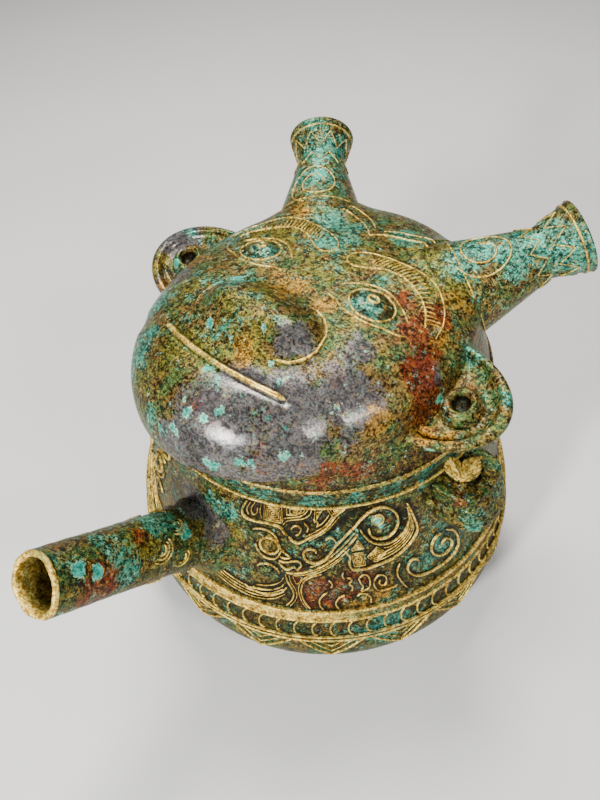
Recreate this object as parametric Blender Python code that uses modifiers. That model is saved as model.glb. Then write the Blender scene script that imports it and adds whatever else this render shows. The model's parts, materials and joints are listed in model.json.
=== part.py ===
"""Bronze spouted wine vessel with a lifting lid cast as a horned mask.

Metres, +Z up. The spout and the mask's chin point to -Y, and the vessel is
symmetric about the plane x = 0. The sizes below are given from the vessel's
own axis and from the surface that the foot ring stands on. At the end the
whole model moves along Y, so that the origin is under the middle of its box.
"""
import math

import bmesh
import bpy
from mathutils import Matrix, Vector

# Foot ring and floor
FOOT_RADIUS = 0.0600
FOOT_HEIGHT = 0.0080
FOOT_FLARE = 0.0015
FOOT_WIDTH = 0.0050
FOOT_RECESS = 0.0055

# Body, from the belly up to the neck
BELLY_RADIUS = 0.0905
BELLY_HEIGHT = 0.0330
BELLY_POWER = 2.2
SHOULDER_HEIGHT = 0.1166
SHOULDER_BOW = 0.6
NECK_RADIUS = 0.0720
RIM_HEIGHT = 0.1235
WALL = 0.0032

# Cast bands round the belly
BAND_HEIGHT = 0.0570
BAND_WIDTH = 0.0056
BAND_RELIEF = 0.0014
CORD_HEIGHT = 0.0425
CORD_WIDTH = 0.0022
CORD_RELIEF = 0.0010
TOOTH_COUNT = 18
TOOTH_TOP = 0.0400
TOOTH_DROP = 0.0125

# Cast scrolls on the shoulder
RIBBON_RADIUS = 0.0012
SCROLL_ANGLE = -34.0
SCROLL_HEIGHT = 0.1060
SCROLL_RADIUS = 0.0078
SCROLL_TURNS = -1.25
SCROLL_START = 150.0
SCROLL_LEAD = ((-52.8, 0.0935), (-51.0, 0.0905), (-48.0, 0.0930), (-44.5, 0.0990), (-41.0, 0.1050))
EYE_ANGLE = -65.5
EYE_HEIGHT = 0.0950
EYE_RADIUS = 0.0044
HOOK_ANGLE = -14.5
HOOK_HEIGHT = 0.0790
HOOK_RADIUS = 0.0078
HOOK_TURNS = 1.25
HOOK_START = -75.0
HOOK_LEAD = ((-25.5, 0.0725), (-22.0, 0.0685), (-16.0, 0.0680))
COIL_END = 0.4

# Spout
SPOUT_ANGLE = 36.8
SPOUT_REACH = 0.1436
SPOUT_TIP_HEIGHT = 0.1314
SPOUT_TIP_RADIUS = 0.0115
SPOUT_BASE_RADIUS = 0.0126
SPOUT_LENGTH = 0.0860
SPOUT_COLLAR = 0.0080
SPOUT_COLLAR_LENGTH = 0.0200
SPOUT_BORE_RADIUS = 0.0094

# Cord lugs at the sides
LUG_SETBACK = -0.0060
LUG_HALF_WIDTH = 0.0140
LUG_REACH = 0.0935
LUG_TOP_REACH = 0.0885
LUG_BOTTOM = 0.0950
LUG_TOP = 0.1130
LUG_EDGE = 0.0015
LUG_END_SHRINK = 0.985
LUG_SQUARENESS = 0.6
LUG_HOLE_SETBACK = 0.0012
LUG_HOLE_RUN = 0.0040
LUG_HOLE_DEPTH = 0.0052
LUG_HOLE_HALF_WIDTH = 0.0060
BEAST_LENGTH = 0.0068
BEAST_INSET = 0.0038
BEAST_LIFT = 0.0022
BEAST_LEAN = 25.0
SNOUT_SHAPE = (1.0, 0.62, 0.5)
LEAF_SHAPE = (0.95, 0.5, 0.32)
LEAF_SPLAY = 38.0
LEAF_INSET = 0.0015
LEAF_SPREAD = 0.0045
LEAF_LIFT = 0.0021

# Mask lid
LID_GAP = 0.0003
LID_WALL = 0.0030
LID_EDGE_RADIUS = 0.0713
FLANGE_CLEARANCE = 0.0008
FLANGE_WALL = 0.0026
FLANGE_DEPTH = 0.0080
MASK_REACHES = ((-90.0, 0.0828), (-28.0, 0.0665), (0.0, 0.0623), (40.0, 0.0638), (90.0, 0.0682))
MASK_FRONT_HEIGHT = 0.1381
MASK_SIDE_HEIGHT = 0.1475
MASK_BACK_HEIGHT = 0.1515
MASK_TOP_HEIGHT = 0.1683
MASK_TOP_SLOPE = 0.020
FRONT_POWERS = (2.8, 2.55)
SIDE_POWERS = (2.0, 1.97)
COLLAR_SHARE = 0.41
HOLLOW_FEATURES = 0.4
SKIRT_SHARES = (0.0, 0.13, 0.27, 0.41, 1.0)
NOSE_PLACE = -0.0330
NOSE_HALF_WIDTH = 0.0310
NOSE_HALF_LENGTH = 0.0200
NOSE_RELIEF = 0.0045
WING_SPREAD = 0.0165
WING_SIZE = 0.0140
WING_RELIEF = 0.0020
LIP_PLACE = -0.0630
LIP_HALF_WIDTH = 0.0320
LIP_HALF_LENGTH = 0.0120
LIP_RELIEF = 0.0020
MOUTH_PLACE = -0.0580
MOUTH_HALF_WIDTH = 0.0290
MOUTH_RISE = 0.0050
MOUTH_RADIUS = 0.0013
EYE_SPREAD = 0.0270
EYE_PLACE = -0.0030
IRIS_RADIUS = 0.0085
PUPIL_RADIUS = 0.0028
BROW_RISE = 0.0180
BROW_HALF_WIDTH = 0.0210
BROW_SPREAD = 0.0250
BROW_FALL = 0.0070
FEATURE_RADIUS = 0.0010

# Horns of the lid
HORN_HEADING = 51.4
HORN_RISE = 20.8
HORN_TIP_OUT = 0.1063
HORN_TIP_HEIGHT = 0.1652
HORN_LENGTH = 0.0560
HORN_BASE_RADIUS = 0.0219
HORN_ROOT_LENGTH = 0.0200
HORN_ROOT_MIDDLE = 0.0185
HORN_ROOT_RADIUS = 0.0100
HORN_CORE_SHARE = 0.85
HORN_NECK_RADIUS = 0.0109
HORN_LIP_RADIUS = 0.0152
HORN_NECK_BACK = 0.0165
HORN_FLARE_POWER = 1.24
HORN_EDGE = 0.0012
HORN_DISH_EDGE = 0.0030
HORN_WALL = 0.0034
HORN_DISH = 0.0020

# Ears of the lid
EAR_INNER = 0.0560
EAR_REACH = 0.0877
EAR_PLACE = -0.0052
EAR_HALF_LENGTH = 0.0224
EAR_HEIGHT = 0.1438
EAR_THICKNESS = 0.0044
EAR_PITCH = 17.2
EAR_LIFT = 4.0
EAR_BEAD = 0.0024
EAR_CURL_OUT = 0.0702
EAR_CURL_RADIUS = 0.0062

# Pieces that are cast on keep this gap to the body's skin
JOINT_GAP = 0.0003
SIDES = ((1.0, "right"), (-1.0, "left"))

# Fineness of the faceted solids
BODY_SIDES = 54
CAVITY_SIDES = 32
MASK_SIDES = 44
MASK_ROWS = 12
SPOUT_SIDES = 20
BORE_SIDES = 16
HORN_SIDES = 16
CORE_SIDES = 10
LUG_STEPS = 14
LUG_HOLE_SIDES = 12
OVERRUN = 0.0100
MERGE = 0.00001


def clear_scene():
    """Start from an empty scene."""
    for item in list(bpy.data.objects):
        bpy.data.objects.remove(item, do_unlink=True)
    for group in list(bpy.data.collections):
        bpy.data.collections.remove(group)


def make_collection(name):
    group = bpy.data.collections.new(name)
    bpy.context.scene.collection.children.link(group)
    return group


def make_material(name, colour, roughness, metallic):
    """Principled material with plain values."""
    material = bpy.data.materials.new(name)
    material.use_nodes = True
    shader = material.node_tree.nodes["Principled BSDF"]
    shader.inputs["Base Color"].default_value = (*colour, 1.0)
    shader.inputs["Roughness"].default_value = roughness
    shader.inputs["Metallic"].default_value = metallic
    material.diffuse_color = (*colour, 1.0)
    return material


def add_object(name, mesh, group):
    item = bpy.data.objects.new(name, mesh)
    group.objects.link(item)
    return item


def mesh_from_bmesh(name, work):
    """Finish a bmesh: faces out, no doubles, and turn it into a mesh."""
    bmesh.ops.remove_doubles(work, verts=work.verts, dist=MERGE)
    bmesh.ops.recalc_face_normals(work, faces=work.faces)
    mesh = bpy.data.meshes.new(name)
    work.to_mesh(mesh)
    work.free()
    return mesh


def bake(item):
    """Replace an object's modifiers or curve by the mesh that they make."""
    view = bpy.context.evaluated_depsgraph_get()
    mesh = bpy.data.meshes.new_from_object(item.evaluated_get(view))
    work = bmesh.new()
    work.from_mesh(mesh)
    bmesh.ops.remove_doubles(work, verts=work.verts, dist=MERGE)
    bmesh.ops.recalc_face_normals(work, faces=work.faces)
    work.to_mesh(mesh)
    work.free()
    name = item.name
    place = item.matrix_world.copy()
    group = item.users_collection[0]
    bpy.data.objects.remove(item, do_unlink=True)
    solid = add_object(name, mesh, group)
    solid.matrix_world = place
    return solid


def turned(name, profile, sides, group, place=None):
    """Solid of revolution about Z from (radius, height) points, top to bottom."""
    mesh = bpy.data.meshes.new(name)
    points = [(radius, 0.0, height) for radius, height in profile]
    edges = [(index, index + 1) for index in range(len(points) - 1)]
    mesh.from_pydata(points, edges, [])
    item = add_object(name, mesh, group)
    screw = item.modifiers.new("turn", "SCREW")
    screw.steps = sides
    screw.render_steps = sides
    screw.use_merge_vertices = True
    screw.merge_threshold = MERGE
    item = bake(item)
    if place is not None:
        item.data.transform(place)
    return item


def lofted(name, rings, group):
    """Closed solid through rings of as many points each, capped at both ends."""
    work = bmesh.new()
    loops = [[work.verts.new(point) for point in ring] for ring in rings]
    count = len(loops[0])
    for lower, upper in zip(loops, loops[1:]):
        for index in range(count):
            after = (index + 1) % count
            work.faces.new((lower[index], lower[after], upper[after], upper[index]))
    work.faces.new(loops[0])
    work.faces.new(loops[-1])
    bmesh.ops.triangulate(work, faces=[face for face in work.faces if len(face.verts) > 4])
    return add_object(name, mesh_from_bmesh(name, work), group)


def tube(name, points, radius, group, cyclic=False, fineness=0):
    """Round bar along a list of points."""
    curve = bpy.data.curves.new(name, "CURVE")
    curve.dimensions = "3D"
    curve.bevel_depth = radius
    curve.bevel_resolution = fineness
    curve.use_fill_caps = not cyclic
    spline = curve.splines.new("POLY")
    spline.points.add(len(points) - 1)
    for knot, point in zip(spline.points, points):
        knot.co = (*point, 1.0)
    spline.use_cyclic_u = cyclic
    return bake(add_object(name, curve, group))


def flat_plate(name, outline, thickness, group, place):
    """Plate of a flat outline, with its middle on the outline's plane."""
    curve = bpy.data.curves.new(name, "CURVE")
    curve.dimensions = "2D"
    curve.fill_mode = "BOTH"
    curve.extrude = 0.5 * thickness
    spline = curve.splines.new("POLY")
    spline.points.add(len(outline) - 1)
    for knot, (across, along) in zip(spline.points, outline):
        knot.co = (across, along, 0.0, 1.0)
    spline.use_cyclic_u = True
    item = bake(add_object(name, curve, group))
    item.matrix_world = place
    return item


def ball(name, radii, place, group, segments=8, rings=4):
    """Ellipsoid with the given half sizes."""
    work = bmesh.new()
    bmesh.ops.create_uvsphere(work, u_segments=segments, v_segments=rings, radius=1.0)
    bmesh.ops.scale(work, vec=radii, verts=work.verts)
    item = add_object(name, mesh_from_bmesh(name, work), group)
    item.matrix_world = place
    return item


def combine(target, mode, group):
    """Boolean of a piece with everything in a collection."""
    cut = target.modifiers.new(mode.lower(), "BOOLEAN")
    cut.operation = mode
    cut.operand_type = "COLLECTION"
    cut.collection = group
    cut.solver = "EXACT"


def hide_helpers(group):
    for item in group.objects:
        item.hide_render = True
        item.display_type = "WIRE"


def mirrored(point, side, end=1.0):
    """Point moved to the other side, and to the back where end is -1."""
    return Vector((point.x * side, point.y * end, point.z))


def body_radius(height):
    """Outer radius of the plain body at a height, foot to neck."""
    if height >= SHOULDER_HEIGHT:
        return NECK_RADIUS
    if height >= BELLY_HEIGHT:
        share = (height - BELLY_HEIGHT) / (SHOULDER_HEIGHT - BELLY_HEIGHT)
        fall = (1.0 - share) + SHOULDER_BOW * share * (1.0 - share) ** 4
        return NECK_RADIUS + (BELLY_RADIUS - NECK_RADIUS) * fall
    share = min((BELLY_HEIGHT - height) / (BELLY_HEIGHT - FOOT_HEIGHT), 1.0)
    swell = (1.0 - share ** BELLY_POWER) ** (1.0 / BELLY_POWER)
    return FOOT_RADIUS + (BELLY_RADIUS - FOOT_RADIUS) * swell


def on_shoulder(angle, height):
    """Point of the body's surface, angle in degrees from +X, front at -90."""
    radius = body_radius(height)
    turn = math.radians(angle)
    return Vector((radius * math.cos(turn), radius * math.sin(turn), height))


def beside(angle, height, across, up):
    """Point on the body, a distance across and up from a place on it."""
    turn = math.degrees(across / body_radius(height))
    return on_shoulder(angle + turn, height + up)


def band_rows(height, width, relief):
    """Profile rows of a raised band, top to bottom."""
    half = 0.5 * width
    slope = 0.5 * relief
    rows = []
    for offset, lift in ((half, 0.0), (half - slope, relief), (slope - half, relief), (-half, 0.0)):
        rows.append((body_radius(height + offset) + lift, height + offset))
    return rows


def body_profile():
    """Outer half profile of the vessel, from the axis at the rim to the recess."""
    rows = [(0.0, RIM_HEIGHT), (NECK_RADIUS, RIM_HEIGHT)]
    rows.append((body_radius(SHOULDER_HEIGHT), SHOULDER_HEIGHT))
    band_top = BAND_HEIGHT + 0.5 * BAND_WIDTH
    steps = 4
    for step in range(1, steps):
        height = SHOULDER_HEIGHT + (band_top - SHOULDER_HEIGHT) * step / steps
        rows.append((body_radius(height), height))
    rows += band_rows(BAND_HEIGHT, BAND_WIDTH, BAND_RELIEF)
    rows += band_rows(CORD_HEIGHT, CORD_WIDTH, CORD_RELIEF)
    rows.append((body_radius(BELLY_HEIGHT), BELLY_HEIGHT))
    steps = 5
    for step in range(1, steps + 1):
        turn = 0.5 * math.pi * step / steps
        height = BELLY_HEIGHT - (BELLY_HEIGHT - FOOT_HEIGHT) * math.sin(turn) ** (2.0 / BELLY_POWER)
        rows.append((body_radius(height), height))
    foot_outer = FOOT_RADIUS + FOOT_FLARE
    rows.append((foot_outer, 0.0))
    rows.append((foot_outer - FOOT_WIDTH, 0.0))
    rows.append((FOOT_RADIUS - FOOT_WIDTH, FOOT_RECESS))
    rows.append((0.0, FOOT_RECESS))
    return rows


def cavity_profile():
    """Inner half profile of the vessel, open above the rim."""
    mouth = NECK_RADIUS - WALL
    rows = [(0.0, RIM_HEIGHT + OVERRUN), (mouth, RIM_HEIGHT + OVERRUN), (mouth, SHOULDER_HEIGHT)]
    steps = 3
    for step in range(1, steps + 1):
        height = SHOULDER_HEIGHT + (BELLY_HEIGHT - SHOULDER_HEIGHT) * step / steps
        rows.append((body_radius(height) - WALL, height))
    floor = FOOT_RECESS + WALL
    inner_foot = FOOT_RADIUS - WALL
    inner_belly = BELLY_RADIUS - WALL
    steps = 4
    for step in range(1, steps + 1):
        turn = 0.5 * math.pi * step / steps
        swell = math.cos(turn) ** (2.0 / BELLY_POWER)
        drop = math.sin(turn) ** (2.0 / BELLY_POWER)
        height = BELLY_HEIGHT - (BELLY_HEIGHT - floor) * drop
        rows.append((inner_foot + (inner_belly - inner_foot) * swell, height))
    rows.append((0.0, floor))
    return rows


def spout_place():
    """Frame of the spout: its +Z runs out along the spout, from its tip's middle."""
    lean = math.radians(90.0 - SPOUT_ANGLE)
    return Matrix.Translation((0.0, -SPOUT_REACH, SPOUT_TIP_HEIGHT)) @ Matrix.Rotation(lean, 4, "X")


def spout_profile():
    """Tapered tube with a flaring collar where it meets the belly."""
    rows = [(0.0, 0.0), (SPOUT_TIP_RADIUS, 0.0)]
    collar_top = SPOUT_COLLAR_LENGTH
    straight = SPOUT_LENGTH - collar_top
    rows.append((SPOUT_TIP_RADIUS + (SPOUT_BASE_RADIUS - SPOUT_TIP_RADIUS) * 0.5, -0.5 * straight))
    steps = 5
    for step in range(steps + 1):
        share = step / steps
        depth = straight + collar_top * share
        rows.append((SPOUT_BASE_RADIUS + SPOUT_COLLAR * share ** 2, -depth))
    rows.append((0.0, -SPOUT_LENGTH))
    return rows


def cut_bore(name, cutters):
    """Bore of the spout, from beyond its tip to well inside the belly."""
    base_bore = SPOUT_BASE_RADIUS - (SPOUT_TIP_RADIUS - SPOUT_BORE_RADIUS)
    inner_end = -SPOUT_LENGTH - OVERRUN
    bore = [(0.0, OVERRUN), (SPOUT_BORE_RADIUS, OVERRUN), (SPOUT_BORE_RADIUS, 0.0)]
    bore += [(base_bore, -SPOUT_LENGTH), (base_bore, inner_end), (0.0, inner_end)]
    turned(name, bore, BORE_SIDES, cutters, spout_place())


def cut_body(name, cutters):
    """The body's own outer form and a small gap, so that what is cast on starts at its skin."""
    profile = [(radius + JOINT_GAP if radius > 0.0 else 0.0, height) for radius, height in body_profile()]
    turned(name, profile, BODY_SIDES, cutters)


def build_spout(group, material):
    cutters = make_collection("spout_cutters")
    spout = turned("spout", spout_profile(), SPOUT_SIDES, group, spout_place())
    cut_bore("spout_bore", cutters)
    cut_body("spout_skin", cutters)
    combine(spout, "DIFFERENCE", cutters)
    spout.data.materials.append(material)
    return spout


def lug_outline(reach, height, shrink):
    """Rounded half of a lug in plan, closed inside the body's wall."""
    root = body_radius(height) - WALL - 0.5 * OVERRUN
    ring = []
    for index in range(LUG_STEPS + 1):
        turn = math.pi * (index / LUG_STEPS - 0.5)
        across = math.copysign(abs(math.sin(turn)) ** LUG_SQUARENESS, math.sin(turn))
        out = abs(math.cos(turn)) ** LUG_SQUARENESS
        y = LUG_SETBACK + LUG_HALF_WIDTH * shrink * across
        ring.append(Vector((root + (reach * shrink - root) * out, y, height)))
    return ring


def lug_hole_inner():
    """Distance from the axis to the side of a lug's hole that faces the body."""
    return body_radius(LUG_BOTTOM) + LUG_HOLE_SETBACK


def cut_lug_hole(name, side, cutters):
    middle = lug_hole_inner() + 0.5 * LUG_HOLE_DEPTH
    rings = []
    for height in (LUG_BOTTOM - LUG_HOLE_RUN, LUG_TOP + OVERRUN):
        ring = []
        for index in range(LUG_HOLE_SIDES):
            turn = 2.0 * math.pi * (index + 0.5) / LUG_HOLE_SIDES
            across = math.copysign(abs(math.cos(turn)) ** LUG_SQUARENESS, math.cos(turn))
            along = math.copysign(abs(math.sin(turn)) ** LUG_SQUARENESS, math.sin(turn))
            x = middle + 0.5 * LUG_HOLE_DEPTH * across
            y = LUG_SETBACK + LUG_HOLE_HALF_WIDTH * along
            ring.append(Vector((x * side, y, height)))
        rings.append(ring)
    lofted(name, rings, cutters)


def build_lug(group, side, label, material):
    """Upright cord lug with its head: a broad strap off the shoulder, open above and below."""
    additions = make_collection("lug_additions_" + label)
    cutters = make_collection("lug_cutters_" + label)
    rings = []
    for height, shrink in ((LUG_BOTTOM, LUG_END_SHRINK), (LUG_BOTTOM + LUG_EDGE, 1.0),
                           (LUG_TOP - LUG_EDGE, 1.0), (LUG_TOP, LUG_END_SHRINK)):
        share = (height - LUG_BOTTOM) / (LUG_TOP - LUG_BOTTOM)
        reach = LUG_REACH + (LUG_TOP_REACH - LUG_REACH) * share
        rings.append([mirrored(point, side) for point in lug_outline(reach, height, shrink)])
    lug = lofted("lug_" + label, rings, group)
    build_beast_head(side, label, additions)
    cut_lug_hole("lug_hole_" + label, side, cutters)
    cut_body("lug_skin_" + label, cutters)
    combine(lug, "UNION", additions)
    combine(lug, "DIFFERENCE", cutters)
    lug.data.materials.append(material)
    return lug


def build_beast_head(side, label, group):
    """Small horned head between the neck and a lug: a snout and two leaf ears."""
    length = BEAST_LENGTH
    middle = Vector((side * (lug_hole_inner() - BEAST_INSET), LUG_SETBACK, LUG_TOP + BEAST_LIFT))
    lean = Matrix.Rotation(side * math.radians(BEAST_LEAN), 4, "Y")
    ball("snout_" + label, [length * share for share in SNOUT_SHAPE],
         Matrix.Translation(middle) @ lean, group)
    for end, word in ((1.0, "back"), (-1.0, "front")):
        splay = Matrix.Rotation(side * end * math.radians(LEAF_SPLAY), 4, "Z")
        offset = Vector((-side * LEAF_INSET, end * LEAF_SPREAD, LEAF_LIFT))
        ball("leaf_" + label + "_" + word, [length * share for share in LEAF_SHAPE],
             Matrix.Translation(middle + offset) @ splay, group, 6, 4)


def coil(angle, height, outer, turns, start, count):
    """Places of a coil on the shoulder that winds in from its outer radius."""
    places = []
    for index in range(count + 1):
        share = index / count
        turn = math.radians(start) + 2.0 * math.pi * turns * share
        radius = outer * (1.0 - (1.0 - COIL_END) * share)
        places.append((angle, height, radius * math.cos(turn), radius * math.sin(turn)))
    return places


def ribbon(name, places, group, side, end):
    """Raised line on the shoulder through places given as angle, height, across and up."""
    points = [mirrored(beside(*place), side, end) for place in places]
    return tube(name, points, RIBBON_RADIUS, group)


def boss(name, angle, height, size, group, side, end):
    """Round knob on the shoulder."""
    place = mirrored(on_shoulder(angle, height), side, end)
    ball(name, (size, size, size), Matrix.Translation(place), group, 6, 4)


def build_shoulder_relief(group):
    """Main scrolls and bosses of the four confronted dragons, plainer at the back."""
    scroll = [(angle, height, 0.0, 0.0) for angle, height in SCROLL_LEAD]
    scroll += coil(SCROLL_ANGLE, SCROLL_HEIGHT, SCROLL_RADIUS, SCROLL_TURNS, SCROLL_START, 12)
    hook = [(angle, height, 0.0, 0.0) for angle, height in HOOK_LEAD]
    hook += coil(HOOK_ANGLE, HOOK_HEIGHT, HOOK_RADIUS, HOOK_TURNS, HOOK_START, 9)
    for side, side_word in ((1.0, "right"), (-1.0, "left")):
        for end, end_word in ((1.0, "front"), (-1.0, "back")):
            label = side_word + "_" + end_word
            ribbon("scroll_" + label, scroll, group, side, end)
            boss("boss_" + label, SCROLL_ANGLE, SCROLL_HEIGHT, COIL_END * SCROLL_RADIUS, group, side, end)
        ribbon("hook_" + side_word, hook, group, side, 1.0)
        boss("eye_" + side_word, EYE_ANGLE, EYE_HEIGHT, EYE_RADIUS, group, side, 1.0)


def build_teeth(group):
    """Zigzag of hanging triangles under the thin cord."""
    points = []
    pitch = 360.0 / TOOTH_COUNT
    for index in range(TOOTH_COUNT):
        points.append(on_shoulder(-90.0 + pitch * index, TOOTH_TOP - TOOTH_DROP))
        points.append(on_shoulder(-90.0 + pitch * (index + 0.5), TOOTH_TOP))
    tube("teeth", points, RIBBON_RADIUS, group, cyclic=True)


def build_vessel(group, material):
    additions = make_collection("vessel_additions")
    cutters = make_collection("vessel_cutters")
    turned_body = turned("vessel", body_profile(), BODY_SIDES, group)
    turned("cavity", cavity_profile(), CAVITY_SIDES, cutters)
    cut_bore("spout_opening", cutters)
    build_shoulder_relief(additions)
    build_teeth(additions)
    combine(turned_body, "UNION", additions)
    combine(turned_body, "DIFFERENCE", cutters)
    turned_body.data.materials.append(material)
    return turned_body


def mask_reach(turn, inset=0.0):
    """Widest radius of the mask in a direction: a smooth curve through the named reaches."""
    sine = math.sin(turn)
    places = [(math.sin(math.radians(angle)), reach) for angle, reach in MASK_REACHES]
    total = 0.0
    for here, reach in places:
        weight = 1.0
        for other, _ in places:
            if other != here:
                weight *= (sine - other) / (here - other)
        total += weight * reach
    return total - inset


def mask_shoulder(turn):
    """Height of the mask's widest line, low at the chin and high at the back."""
    sine = math.sin(turn)
    end = MASK_FRONT_HEIGHT if sine < 0.0 else MASK_BACK_HEIGHT
    return MASK_SIDE_HEIGHT + (end - MASK_SIDE_HEIGHT) * abs(sine)


def bump(x, y, centre_x, centre_y, half_x, half_y):
    """Soft swelling that is 1 in the middle and 0 at its rim."""
    reach = ((x - centre_x) / half_x) ** 2 + ((y - centre_y) / half_y) ** 2
    return max(1.0 - reach, 0.0) ** 2


def mask_features(x, y):
    """Height that the nose and the lower lip add to the plain mask."""
    rise = NOSE_RELIEF * bump(x, y, 0.0, NOSE_PLACE, NOSE_HALF_WIDTH, NOSE_HALF_LENGTH)
    for side in (1.0, -1.0):
        rise += WING_RELIEF * bump(x, y, side * WING_SPREAD, NOSE_PLACE, WING_SIZE, WING_SIZE)
    rise += LIP_RELIEF * bump(x, y, 0.0, LIP_PLACE, LIP_HALF_WIDTH, LIP_HALF_LENGTH)
    return rise


def mask_height(x, y, inset=0.0, features=1.0):
    """Height of the mask's surface over a place in plan."""
    turn = math.atan2(y, x)
    front = max(-math.sin(turn), 0.0)
    share = min(math.hypot(x, y) / mask_reach(turn, inset), 1.0)
    shoulder = mask_shoulder(turn)
    top = MASK_TOP_HEIGHT - MASK_TOP_SLOPE * y - inset
    crown_power, edge_power = [side + (ahead - side) * front for side, ahead in zip(SIDE_POWERS, FRONT_POWERS)]
    crown = (1.0 - share ** crown_power) ** (1.0 / edge_power)
    return shoulder + (top - shoulder) * crown + features * mask_features(x, y)


def mask_ring(share, sides, inset=0.0, features=1.0):
    ring = []
    for index in range(sides):
        turn = 2.0 * math.pi * index / sides
        radius = share * mask_reach(turn, inset)
        x = radius * math.cos(turn)
        y = radius * math.sin(turn)
        ring.append(Vector((x, y, mask_height(x, y, inset, features))))
    return ring


def skirt_ring(share, sides, edge_radius, edge_height, inset=0.0):
    """Ring between the mask's widest line, share 0, and its lower edge, share 1.

    The chin turns in under itself to an upright collar, and the sides slope straight down.
    """
    ring = []
    for index in range(sides):
        turn = 2.0 * math.pi * index / sides
        reach = mask_reach(turn, inset)
        fall = 1.0 - share
        if reach > edge_radius:
            fall = math.cos(0.5 * math.pi * min(share / COLLAR_SHARE, 1.0))
        radius = edge_radius + (reach - edge_radius) * fall
        start = mask_shoulder(turn)
        height = start + (edge_height - start) * share
        ring.append(Vector((radius * math.cos(turn), radius * math.sin(turn), height)))
    return ring


def round_ring(radius, sides, height):
    ring = []
    for index in range(sides):
        turn = 2.0 * math.pi * index / sides
        ring.append(Vector((radius * math.cos(turn), radius * math.sin(turn), height)))
    return ring


def crown_share(step, steps):
    """Rows that draw closer together towards the mask's edge."""
    return math.sin(0.5 * math.pi * step / steps) ** 1.15


def lid_edge():
    return RIM_HEIGHT + LID_GAP


def flange_radius():
    return NECK_RADIUS - WALL - FLANGE_CLEARANCE


def lid_solid(group):
    """Filled form of the lid: the mask down to its edge, then the flange."""
    edge = lid_edge()
    rings = [mask_ring(crown_share(step, MASK_ROWS), MASK_SIDES) for step in range(1, MASK_ROWS)]
    rings += [skirt_ring(share, MASK_SIDES, LID_EDGE_RADIUS, edge) for share in SKIRT_SHARES]
    rings.append(round_ring(flange_radius(), MASK_SIDES, edge))
    rings.append(round_ring(flange_radius(), MASK_SIDES, edge - FLANGE_DEPTH))
    return lofted("lid", rings, group)


def lid_cavity(group):
    """Hollow under the mask, open below the flange."""
    edge = lid_edge()
    inside = flange_radius() - FLANGE_WALL
    sides = MASK_SIDES // 2
    steps = MASK_ROWS // 2
    rings = [mask_ring(crown_share(step, steps), sides, LID_WALL, HOLLOW_FEATURES) for step in range(1, steps)]
    rings += [skirt_ring(share, sides, inside, edge, LID_WALL) for share in (0.0, COLLAR_SHARE)]
    rings.append(round_ring(inside, sides, edge))
    rings.append(round_ring(inside, sides, edge - FLANGE_DEPTH - OVERRUN))
    lofted("lid_cavity", rings, group)


def on_mask(x, y, lift=0.0):
    return Vector((x, y, mask_height(x, y) + lift))


def build_face_lines(additions, cutters):
    """Mouth, eyes and brows of the mask."""
    count = 12
    mouth = []
    for index in range(count + 1):
        x = MOUTH_HALF_WIDTH * (2.0 * index / count - 1.0)
        y = MOUTH_PLACE + MOUTH_RISE * (x / MOUTH_HALF_WIDTH) ** 2
        mouth.append(on_mask(x, y, 0.3 * MOUTH_RADIUS))
    tube("mouth", mouth, MOUTH_RADIUS, cutters)
    for side, label in SIDES:
        ring = []
        for index in range(12):
            turn = 2.0 * math.pi * index / 12
            x = side * (EYE_SPREAD + IRIS_RADIUS * math.cos(turn))
            ring.append(on_mask(x, EYE_PLACE + IRIS_RADIUS * math.sin(turn)))
        tube("iris_" + label, ring, FEATURE_RADIUS, additions, cyclic=True)
        pupil = Matrix.Translation(on_mask(side * EYE_SPREAD, EYE_PLACE, -0.3 * PUPIL_RADIUS))
        ball("pupil_" + label, (PUPIL_RADIUS, PUPIL_RADIUS, PUPIL_RADIUS), pupil, additions, 6, 4)
        brow = []
        for index in range(10):
            share = 2.0 * index / 9 - 1.0
            x = side * (BROW_SPREAD + BROW_HALF_WIDTH * share)
            y = EYE_PLACE + BROW_RISE - BROW_FALL * share * share
            brow.append(on_mask(x, y))
        tube("brow_" + label, brow, 1.3 * FEATURE_RADIUS, additions)


def horn_place(side):
    """Frame of a horn: its +Z runs out along the horn, from the middle of its lip."""
    heading = math.radians(HORN_HEADING)
    rise = math.radians(HORN_RISE)
    out = Vector((side * math.cos(heading) * math.cos(rise),
                  math.sin(heading) * math.cos(rise), math.sin(rise)))
    tip = Vector((side * HORN_TIP_OUT * math.cos(heading), HORN_TIP_OUT * math.sin(heading), HORN_TIP_HEIGHT))
    return Matrix.Translation(tip) @ out.to_track_quat("Z", "Y").to_matrix().to_4x4()


def horn_radius(back):
    """Radius of a horn at a distance back from its lip."""
    if back < HORN_NECK_BACK:
        share = 1.0 - back / HORN_NECK_BACK
        return HORN_NECK_RADIUS + (HORN_LIP_RADIUS - HORN_NECK_RADIUS) * share ** HORN_FLARE_POWER
    share = (back - HORN_NECK_BACK) / (HORN_LENGTH - HORN_NECK_BACK)
    return HORN_NECK_RADIUS + (HORN_BASE_RADIUS - HORN_NECK_RADIUS) * share


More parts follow.
